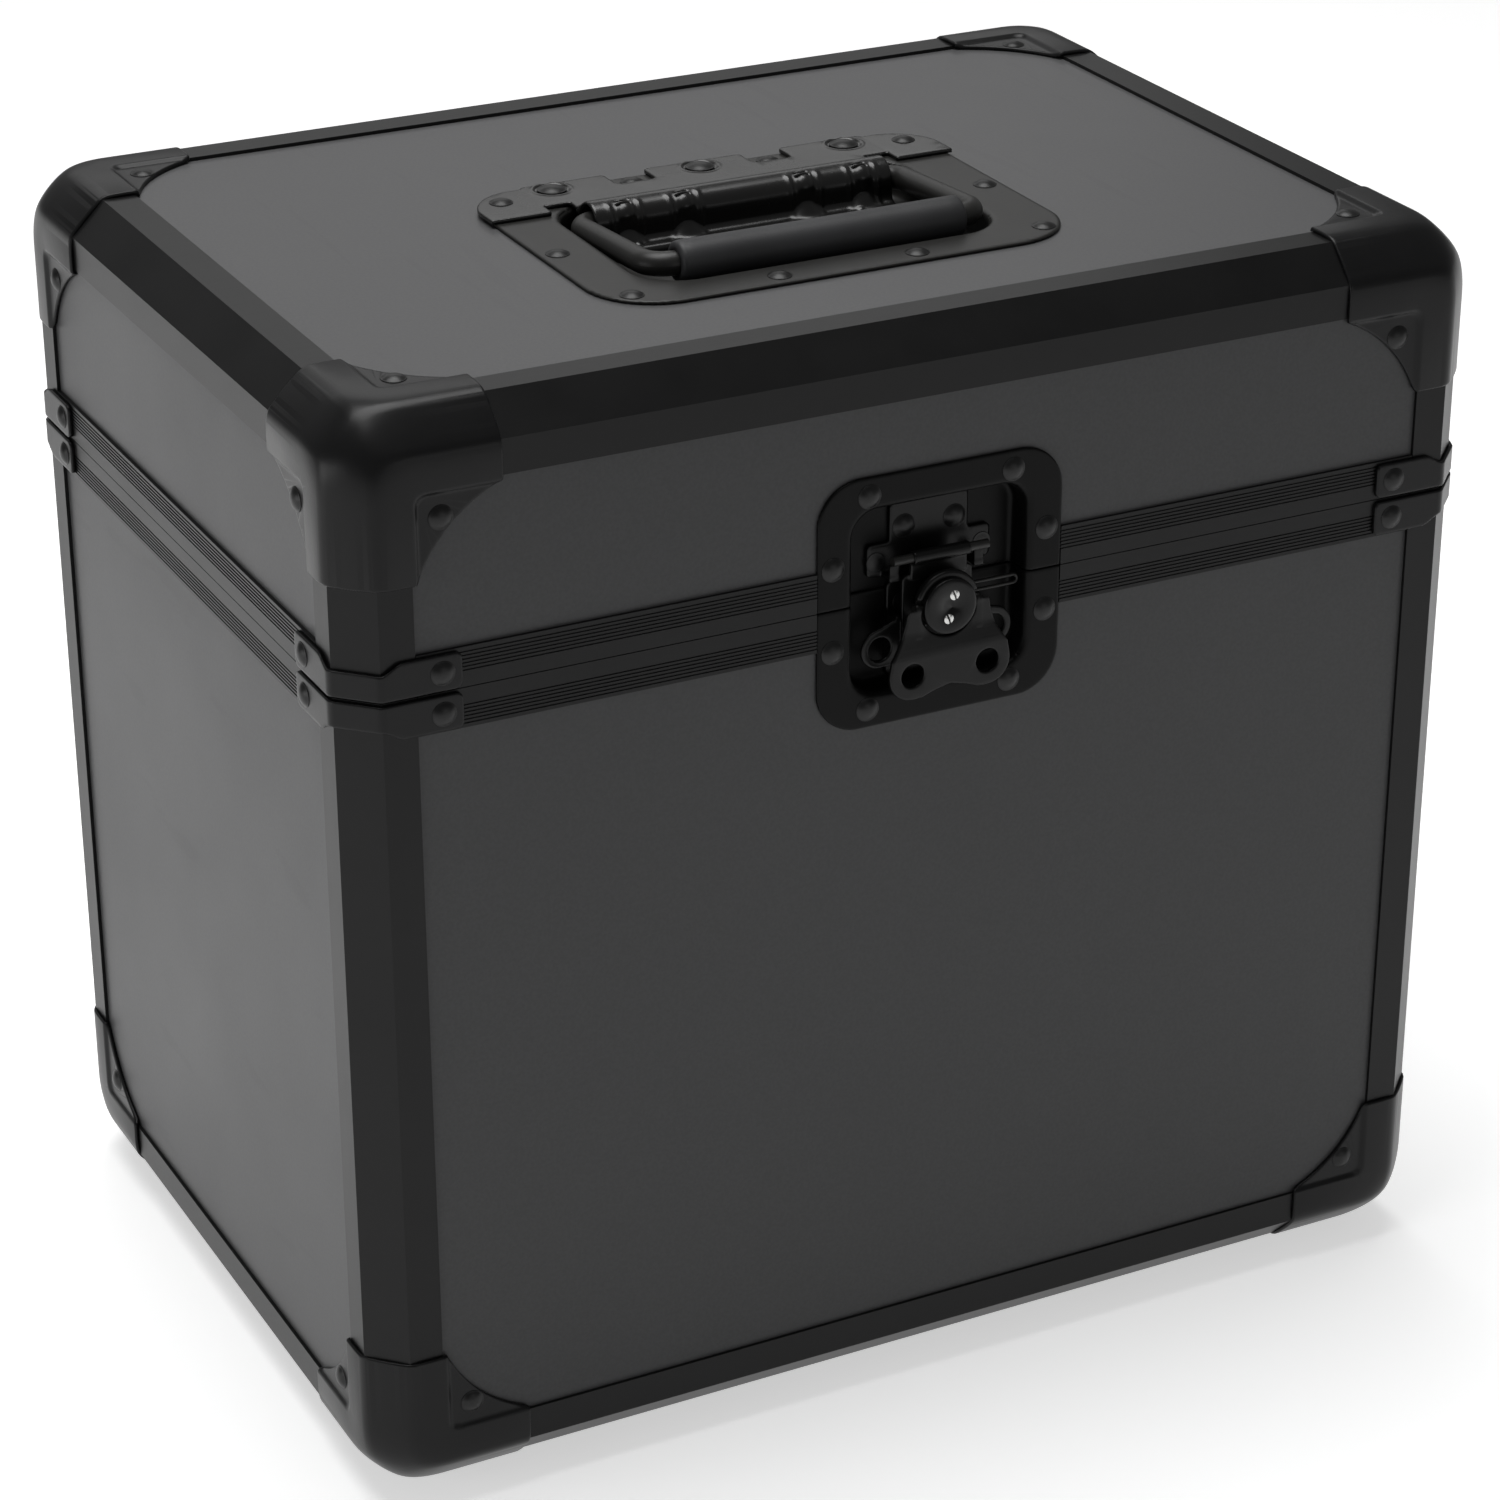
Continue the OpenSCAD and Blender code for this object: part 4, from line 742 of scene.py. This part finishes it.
def wing_field(x, v, n):
    """The wing: a bent plate with two holes, hinged by two ears beside the disc."""
    t = np.clip((BEND_V - v) / BEND_RAMP, 0, 1)
    n = n - WING_BEND * t * t * (3 - 2 * t)
    lobes = np.minimum(np.hypot(x - LOBE_X, v - LOBE_V), np.hypot(x + LOBE_X, v - LOBE_V)) - LOBE_R
    shape = smin(lobes, polygon(x, v, WING_OUTLINE) - 0.3, 2.4)
    shape = smax(shape, WING_CUT - np.hypot(x, v - HUB_V), 0.8)
    for hx in (-LOBE_X, LOBE_X):
        shape = smax(shape, LOBE_HOLE - np.hypot(x - hx, v - LOBE_V), 0.3)
    plate = slab(shape, n, WING_LOW, WING_HIGH, 0.7)
    for sx in (-1, 1):
        ear = cylinder(v - HUB_V, n - WING_PIN_N, sx * x, 9.75, 11.7, 1.9, 0.3)
        arm = smax(np.abs(v + 7.5) - 4.6, np.abs(n - 5) - 1, 0.3)
        arm = smax(np.abs(sx * x - 10.75) - 0.98, arm, 0.3)
        plate = smin(plate, smin(ear, arm, 0.6), 0.5)
    return smax(plate, WING_PIN_BORE - np.hypot(v - HUB_V, n - WING_PIN_N), 0.1)


SLOT_OF = {"works": "fitting_black", "bright": "bright_steel"}


def simple_part(name, field, lo, hi, step, body, *nodes, mat="works", ratio=0.4):
    """A piece of the latch: its field skinned, thinned and put in place of CAD nodes."""
    v, f = from_front(thinned(*skin(field, lo, hi, step), ratio))
    ob = new_object(name, v, f, MATS[mat])
    stand_for(ob, body, *nodes, slot=SLOT_OF[mat])


simple_part("latch_butterfly_wing", wing_field, (-23, -34, 1.8), (23, 0, 8.6), 0.45,
            "wing", "latch_wing")

COLLAR_R, COLLAR_BORE, COLLAR_LOW, COLLAR_HIGH, COLLAR_FROM = 11.3, 8.1, 2.3, 5.3, 2.9
CAP_BACK, CAP_FACE, CAP_R = 5.62, 7.6, 9.3
AXIS_R = 0.01                       # a turned body's points next to its axis


def collar_field(x, v, n):
    """The hub's round shoulder above the wing's ears."""
    r = np.hypot(x, v - HUB_V)
    ring = smax(slab(r - COLLAR_R, n, COLLAR_LOW, COLLAR_HIGH, 1.3), COLLAR_BORE - r, 0.3)
    return smax(ring, COLLAR_FROM - (v - HUB_V), 0.8)


def make_cap():
    """The disc on the hub: flat face, soft bevel, plain back."""
    r = CAP_R
    profile = [(CAP_BACK, AXIS_R), (CAP_BACK, r - 0.25), (5.85, r), (6.7, r), (7.05, r - 0.12),
               (7.3, r - 0.42), (7.5, r - 0.85), (CAP_FACE - 0.02, r - 1.3),
               (CAP_FACE, r - 1.8), (CAP_FACE, AXIS_R)]
    disc = lathe(profile, 96, 2, (0, HUB_V, 0))
    collar = thinned(*skin(collar_field, (-13, -1, 1.6), (13, 10, 6.2), 0.4), 0.5)
    v, f = from_front(join_parts([disc, collar]))
    ob = new_object("latch_front_disc", v, f, MATS["works"])
    stand_for(ob, "hub", "latch_cap", slot="fitting_black")


make_cap()

CAP_PIN_OFF, CAP_PIN_TILT = 4, math.radians(14)     # from the disc's centre, off upright
CAP_PIN_R, CAP_PIN_LOW = 2.8, 4.9
CAP_BALL_R, CAP_BALL_N = 3.6, 4.4                   # the ball that rounds its head
CUT_TURN, CUT_HALF, CUT_N = 0.35, 0.32, 7.55        # the slot across the head


def cap_pins_field(x, v, n):
    """The two bright pins in the disc, each with a slot in its round head."""
    best = None
    for s in (-1, 1):
        px = x - s * CAP_PIN_OFF * math.sin(CAP_PIN_TILT)
        pv = v - HUB_V - s * CAP_PIN_OFF * math.cos(CAP_PIN_TILT)
        r = np.hypot(px, pv)
        ball = np.sqrt(r * r + (n - CAP_BALL_N) ** 2) - CAP_BALL_R
        pin = smax(smax(r - CAP_PIN_R, CAP_PIN_LOW - n, 0.2), ball, 0.25)
        across = px * math.cos(CUT_TURN) + pv * math.sin(CUT_TURN)
        pin = smax(pin, -smax(np.abs(across) - CUT_HALF, CUT_N - n, 0.1), 0.1)
        best = pin if best is None else np.minimum(best, pin)
    return best


simple_part("latch_bright_pins", cap_pins_field, (-5, -11, 4.4), (5, 5, 8.4), 0.22,
            "hub", "latch_cap_pins", mat="bright", ratio=0.5)


def draw_plate_field(x, v, n):
    """The plate between the cam's pin and the cross bar, rolled at both ends."""
    sheet = slab(rounded_rect(x, v + 3.1, 25, 18.6, 2.0), n, -3.6, -2.0, 0.4)
    neck = slab(rounded_rect(x, v - 8.6, 20, 8.0, 1.0), n, -2.6, -1.0, 0.3)
    roll = cylinder(v - BAR_V, n - BAR_N, x, -10, 10, 2.2, 0.4)
    eyes = cylinder(v - DRAW_PIN_V, n - DRAW_PIN_N, np.abs(x), 7.5, 12.5, 2.6, 0.4)
    solid = smin(smin(sheet, neck, 1.2), roll, 1.0)
    solid = smin(solid, eyes, 1.0)
    window = rounded_rect(x, v + 0.8, 14.0, 10.8, 2.6)
    solid = smax(solid, -window, 0.5)
    solid = smax(solid, PIN_BORE - np.hypot(v - BAR_V, n - BAR_N), 0.1)
    return smax(solid, PIN_BORE - np.hypot(v - DRAW_PIN_V, n - DRAW_PIN_N), 0.1)


simple_part("latch_draw_plate", draw_plate_field, (-14, -16, -8), (14, 16, 3), 0.45,
            "draw", "draw_plate")

HOOK_X, HOOK_HALF = 15.0, 1.75


def keeper_field(x, v, n):
    """The keeper: a plate on the dish's floor with two hooks for the cross bar."""
    wide = rounded_rect(x, v - 10.3, 44, 11, 1.6)
    stem = rounded_rect(x, v - 16.9, 28, 24.2, 2.0)
    bed = slab(smin(wide, stem, 1.2), n, FLOOR_N, BED_N, 0.4)
    side = np.abs(np.abs(x) - HOOK_X) - HOOK_HALF
    shelf = smax(smax(side, np.abs(v - 5.55) - 0.75, 0.3), np.abs(n + 5.9) - 3.6, 0.3)
    lip = smax(smax(side, np.abs(v - 7.6) - 2.8, 0.5), np.abs(n + 3.05) - 0.74, 0.5)
    return smin(bed, smin(shelf, lip, 0.6), 0.6)


simple_part("latch_keeper", keeper_field, (-24, 3.5, -10.5), (24, 30.5, -1), 0.5,
            "lid", "keeper_plate")

EYE_X, EYE_V, EYE_R, EYE_HOLE = 20.5, -17, 6.5, 4.0
GUSSET = [(13.3, -24), (13.3, -8.4), (14.8, -8.0), (24.2, -11.8), (20.5, -17), (18.5, -23.2)]
DRAW_TRAVEL = (-16.4, -12.0)        # v of the draw pin's slot
HUB_BORE = 2.27


def latch_bed_field(x, v, n):
    """The latch's bed: a plate with two cheeks and an eye outside each of them."""
    bed = slab(rounded_rect(x, v + 13.75, 29.6, 32.5, 2.0), n, FLOOR_N, BED_N, 0.4)
    ax = np.abs(x)
    cheek = smax(np.abs(ax - 14.05) - 0.75, np.abs(v + 15.5) - 8.5, 0.5)
    cheek = smax(cheek, np.abs(n + 5.5) - 4.0, 0.4)
    away = np.hypot(ax - EYE_X, v - EYE_V)
    ear = smax(smin(away - EYE_R, polygon(ax, v, GUSSET), 1.0), EYE_HOLE - away, 0.3)
    ear = slab(ear, n, -3.0, -1.5, 0.5)
    solid = smin(bed, smin(cheek, ear, 0.8), 0.8)
    slot_at = np.clip(v, *DRAW_TRAVEL)
    solid = smax(solid, PIN_BORE - np.hypot(v - slot_at, n - DRAW_PIN_N), 0.1)
    return smax(solid, HUB_BORE - np.hypot(x, v - HUB_V), 0.1)


simple_part("latch_bed", latch_bed_field, (-28.5, -31, -10.5), (28.5, 4, -0.8), 0.5,
            "base", "latch_plate")

# ---------------------------------------------------------------- foam pads

PAD_X, PAD_Y, PAD_T = 171.2, 112.2, 6.0             # half width, half depth, thickness
PAD_CUT = 17.0                                      # how much each corner is clipped
PAD_GRID_X, PAD_GRID_Y = 173, 114
BASE_PAD_Z, LID_PAD_Z = 14.5, 358.6


def pad_field(x, y, z, low, high):
    """A foam sheet with clipped corners: rounded edges and a face that sinks toward them."""
    ax, ay = np.abs(x), np.abs(y)
    clipped = (ax + ay - PAD_X - PAD_Y + PAD_CUT) / ROOT2
    side = smax(smax(ax - PAD_X, ay - PAD_Y, 2.0), clipped, 2.0)
    quilt = 0.22 * (1 - np.sin(x / 21.0) * np.sin(y / 19.0 + 0.6))
    sink = 0.9 * np.exp(side / 9.0) + quilt
    mid = (low + high) / 2
    thick = (high - low) / 2
    return smax(side, np.abs(z - mid) - thick + sink, 2.6)


def make_pads():
    for name, body, low in (("base_pad", "base", BASE_PAD_Z), ("lid_pad", "lid", LID_PAD_Z)):
        part = skin(lambda x, y, z: pad_field(x, y, z, low, low + PAD_T),
                    (-PAD_GRID_X, -PAD_GRID_Y, low - 1), (PAD_GRID_X, PAD_GRID_Y, low + 7), 1.7)
        ob = new_object(name.replace("_pad", "_foam_sheet"), *thinned(*part, 0.35), MATS["foam"])
        stand_for(ob, body, name, slot="foam")


make_pads()

# ---------------------------------------------------------------- handle in the lid

PULL_W, PULL_D, PULL_R, PULL_Y = 168.0, 118.0, 24.0, -26.0      # the dish's flange
PULL_DEPTH = 12.0
OPEN_W, OPEN_FRONT, OPEN_BACK, OPEN_R = 127.0, 68.0, 14.0, 16.0
FLANGE_Z, PIVOT_Z = 378.0, 376.0
COVER_BUMPS = (-43.5, -22.0, 22.0, 43.5)            # x of the rod's pressed bearings
ROLL_END, ROLL_R, ROLL_IN, ROD_BORE = 54.5, 7.3, 6.1, 4.15
EAR_START, EAR_END, EAR_Y, EAR_HALF, EAR_R = 63.9, 85.4, 20.0, 13.0, 18.0
NOTCH_X, NOTCH_Y = 25.4, 31.2
BIG_RIVETS_X, BIG_RIVETS_Y = (-54.5, 0.0, 54.5), 28.0
PRESSED_R, RING_R = 5.9, 6.6                        # the hollow under a rivet and its rim
SLITS = ((-4.6, -3.5), (-2.7, -2.2))                # y of the slits over each bearing
PIP_X, PIP_Y, PIP_DOWN, PIP_R = 41.0, -9.6, 9.6, 2.2


def opening(x, y, grow=0.0):
    """Distance in the plane to the recess's mouth, made wider by grow."""
    mid = (OPEN_BACK - OPEN_FRONT) / 2
    return rounded_rect(x, y - mid, OPEN_W + 2 * grow,
                        OPEN_FRONT + OPEN_BACK + 2 * grow, OPEN_R + grow)


def pull_dish_field(x, y, z):
    """The dish under the handle: a flange on the lid and a recess with round edges."""
    flange = rounded_rect(x, y - PULL_Y, PULL_W, PULL_D, PULL_R)
    deep = FLANGE_Z - PULL_DEPTH
    back = smin(np.maximum(flange, FLANGE_Z - DISH_SHEET - z),
                np.maximum(opening(x, y, DISH_SHEET), deep - DISH_SHEET - z), 0.8)
    cavity = smax(opening(x, y), deep - z, 4.0)
    air = smin(cavity, FLANGE_Z - z, 2.6)
    return smax(back, -air, 0.5)


def cover_plate(x, y, z):
    """The cover's flat: a middle, two ears and two notches, pressed round its big rivets."""
    ax = np.abs(x)
    mid = rounded_rect(x, y - 20.35, 127.8, 28.3, 2.0)
    mid = smax(mid, smin(ax - ROLL_END, 13.5 - y, 1.0), 2.0)
    ears = smax(ax - EAR_END, np.abs(y - EAR_Y) - EAR_HALF, 0.6)
    corner = np.hypot(np.maximum(ax - EAR_END + EAR_R, 0),
                      np.maximum(y - (EAR_Y + EAR_HALF - EAR_R), 0)) - EAR_R
    ears = smax(smax(ears, corner, 0.4), EAR_START - ax, 0.6)
    flat = smin(mid, ears, 1.2)
    for hx in (-NOTCH_X, NOTCH_X):
        flat = smax(flat, -rounded_rect(x - hx, y - NOTCH_Y, 14.5, 15.0, 2.0), 1.6)
    top = z - FLANGE_Z - 1.5
    for bx in BIG_RIVETS_X:
        r = np.hypot(x - bx, y - BIG_RIVETS_Y)
        sunk = 1 / (1 + np.exp(np.clip((r - PRESSED_R) / 0.12, -40, 40)))
        top = top - 0.3 * np.exp(-((r - RING_R) / 0.6) ** 2) + 0.35 * sunk
    return smax(smax(flat, top, 0.5), FLANGE_Z + 0.02 - z, 0.1)


def cover_field(x, y, z):
    """The plate behind the bail, rolled over its rod and down to a foot in the recess."""
    ax = np.abs(x)
    # u is the distance along the rod from the nearest bearing
    u = np.min([np.abs(x - bx) for bx in COVER_BUMPS], axis=0)
    floor = FLANGE_Z - PULL_DEPTH + 0.02
    ridge = 0.6 * np.exp(-((u - 5.3) / 0.8) ** 2) / (1 + np.exp((y + 3.2) / 0.7))
    r = np.hypot(y, z - PIVOT_Z)
    outer = r - ROLL_R - ridge
    ball = np.sqrt(u ** 2 * 1.1 + (y + 3.3) ** 2 + (z - PIVOT_Z - 2.3) ** 2) - 4.8
    outer = smin(outer, ball, 0.7)
    front = smax(np.maximum(-y - ROLL_R - ridge, y), z - PIVOT_Z, 0.2)
    foot = smax(z - FLANGE_Z + 8.0 - 0.12 * (y + 8.0),
                -y - 12.2 - 0.25 * (FLANGE_Z - 8 - z), 1.4)
    foot = smax(foot, y + 4.0, 0.3)
    cone = (np.hypot(u / 1.5, y + 6.4) - 1.2 - 0.7 * (PIVOT_Z - 1.9 - z)) * 0.8
    cone = smax(smax(cone, z - PIVOT_Z + 1.9, 1.2), -y - 12.2, 1.5)
    solid = smin(smin(smin(outer, front, 0.3), foot, 3.0), cone, 1.2)
    solid = smax(solid, ax - ROLL_END, 0.8)
    hollow = smin(r - ROLL_IN, smax(np.abs(y + 0.6) - 5.2, z - PIVOT_Z, 0.5), 1.0)
    hollow = smin(hollow, smax(smax(-y - 10.8, y - 4, 0.3), z - FLANGE_Z + 9.4, 0.5), 0.5)
    inside = np.maximum(ax - ROLL_END - 5, 5.0 - u)
    solid = smax(solid, -smax(hollow, inside, 0.3), 0.3)
    below = smax(smax(1.0 - y, z - FLANGE_Z - 0.02, 0.2), -(r - 5.8), 0.3)
    solid = smax(solid, -below, 0.3)
    both = smax(smin(solid, cover_plate(x, y, z), 2.6), floor - z, 0.2)
    for low, high in SLITS:
        hole = smax(u - 2.5, np.abs(y - (low + high) / 2) - (high - low) / 2, 0.4)
        both = smax(both, -np.maximum(hole, PIVOT_Z + 5.2 - z), 0.3)
    for sx in (-1, 1):
        pip = np.sqrt((x - sx * PIP_X) ** 2 + (y - PIP_Y) ** 2
                      + (z - FLANGE_Z + PIP_DOWN) ** 2) - PIP_R
        both = smin(both, pip, 0.2)
    return smax(both, ROD_BORE - r, 0.2)


def make_handle():
    part = thinned(*skin(pull_dish_field, (-86, -87, 363), (86, 35, 379.5), 0.8), 0.3)
    ob = new_object("handle_recess_dish", *part, MATS["fitting"])
    stand_for(ob, "lid", "handle_dish", slot="fitting_black")
    part = thinned(*skin(cover_field, (-86, -14, 365), (86, 36.5, 386.5), 0.55), 0.3)
    ob = new_object("handle_rolled_cover", *part, MATS["roll"])
    stand_for(ob, "lid", "handle_cover", slot="fitting_black")


make_handle()


GRIP_HALF, GRIP_R, GRIP_BORE = 51.0, 7.0, 4.05
GRIP_AT = (0, -58.0, 380.0)


def make_grip():
    """The rubber tube on the bail, a little slimmer in its middle, with round ends."""
    half, r = GRIP_HALF, GRIP_R
    side = [(half - 1.6, r), (half - 0.7, r - 0.25), (half - 0.15, r - 0.9),
            (half, r - 1.8), (half - 0.1, GRIP_BORE)]
    rows = 24
    body = [(-half + 1.6 + (2 * half - 3.2) * i / rows,
             r - 0.12 * math.sin(math.pi * i / rows) ** 2) for i in range(1, rows)]
    profile = [(-x, q) for x, q in reversed(side)] + body + side
    v, f = lathe(profile, 64, 0, GRIP_AT)
    ob = new_object("handle_rubber_grip", v, [tuple(reversed(q)) for q in f], MATS["grip"])
    stand_for(ob, "handle", "handle_grip", slot="grip_rubber")


make_grip()

# ---------------------------------------------------------------- stage, light and camera, m

FLOOR_HALF, FLOOR_GLOW, WORLD_LIGHT = 6, 0.55, 0.16
LAMPS = (                           # name, place, target, size, watts
    ("overhead", (-0.1, 0.25, 1.95), (0, 0, 0.3), (1.5, 1.1), 31),
    ("back", (0.35, 2.3, 1.5), (0, 0, 0.35), (2.5, 0.8), 5.5),
    ("left", (-1.5, -0.1, 0.35), (-0.2, 0, 0.1), (0.8, 0.4), 3.5),
    ("front", (0.4, -1.9, 0.6), (0, 0, 0.05), (1.0, 0.5), 1.5),
)
# the camera as solved from the photograph, in its pixels, metres and degrees
IMAGE_PX, FOCAL_PX, CENTRE_PX = 1500, 4325.9, (789.98, 808.78)
CAMERA_AT = (-0.6149, -1.2262, 0.8275)
CAMERA_TURN = (63.76910, -0.13063, -27.31581)
SENSOR = 36


def floor_and_world():
    """A floor that glows to the camera and in reflections only, and a dim white world."""
    h = FLOOR_HALF
    mesh = bpy.data.meshes.new("floor")
    mesh.from_pydata([(-h, -h, 0), (h, -h, 0), (h, h, 0), (-h, h, 0)], [], [(0, 1, 2, 3)])
    ob = bpy.data.objects.new("floor", mesh)
    bpy.context.scene.collection.objects.link(ob)
    s = Shader("floor", (0.8, 0.8, 0.8), 0.8, Specular_IOR_Level=0.0)
    rays = s.add("ShaderNodeLightPath")
    seen = s.math("MAXIMUM", rays.outputs["Is Camera Ray"], rays.outputs["Is Glossy Ray"])
    seen = s.math("MAXIMUM", seen, rays.outputs["Is Transmission Ray"])
    glow = s.spread(seen, 0, 1, 0, FLOOR_GLOW)
    s.bsdf.inputs["Emission Color"].default_value = (1, 1, 1, 1)
    s.link(glow, s.bsdf.inputs["Emission Strength"])
    ob.data.materials.append(s.mat)
    world = bpy.data.worlds.new("studio")
    bpy.context.scene.world = world
    world.use_nodes = True
    back = world.node_tree.nodes["Background"]
    back.inputs["Color"].default_value = (1, 1, 1, 1)
    back.inputs["Strength"].default_value = WORLD_LIGHT


def lamp(name, place, target, size, power):
    """A rectangular lamp that faces its target."""
    data = bpy.data.lights.new(name, "AREA")
    data.shape = "RECTANGLE"
    data.size, data.size_y = size
    data.energy = power
    ob = bpy.data.objects.new(name, data)
    ob.location = place
    ob.rotation_euler = (Vector(target) - Vector(place)).to_track_quat("-Z", "Y").to_euler()
    bpy.context.scene.collection.objects.link(ob)


floor_and_world()
for row in LAMPS:
    lamp(*row)

cam_data = bpy.data.cameras.new("camera")
cam_data.sensor_width = SENSOR
cam_data.lens = SENSOR * FOCAL_PX / IMAGE_PX
cam_data.shift_x = -(CENTRE_PX[0] - IMAGE_PX / 2) / IMAGE_PX
cam_data.shift_y = (CENTRE_PX[1] - IMAGE_PX / 2) / IMAGE_PX
cam = bpy.data.objects.new("camera", cam_data)
cam.location = CAMERA_AT
cam.rotation_euler = tuple(math.radians(v) for v in CAMERA_TURN)
bpy.context.scene.collection.objects.link(cam)
bpy.context.scene.camera = cam

view = bpy.context.scene.view_settings
view.view_transform = "Standard"
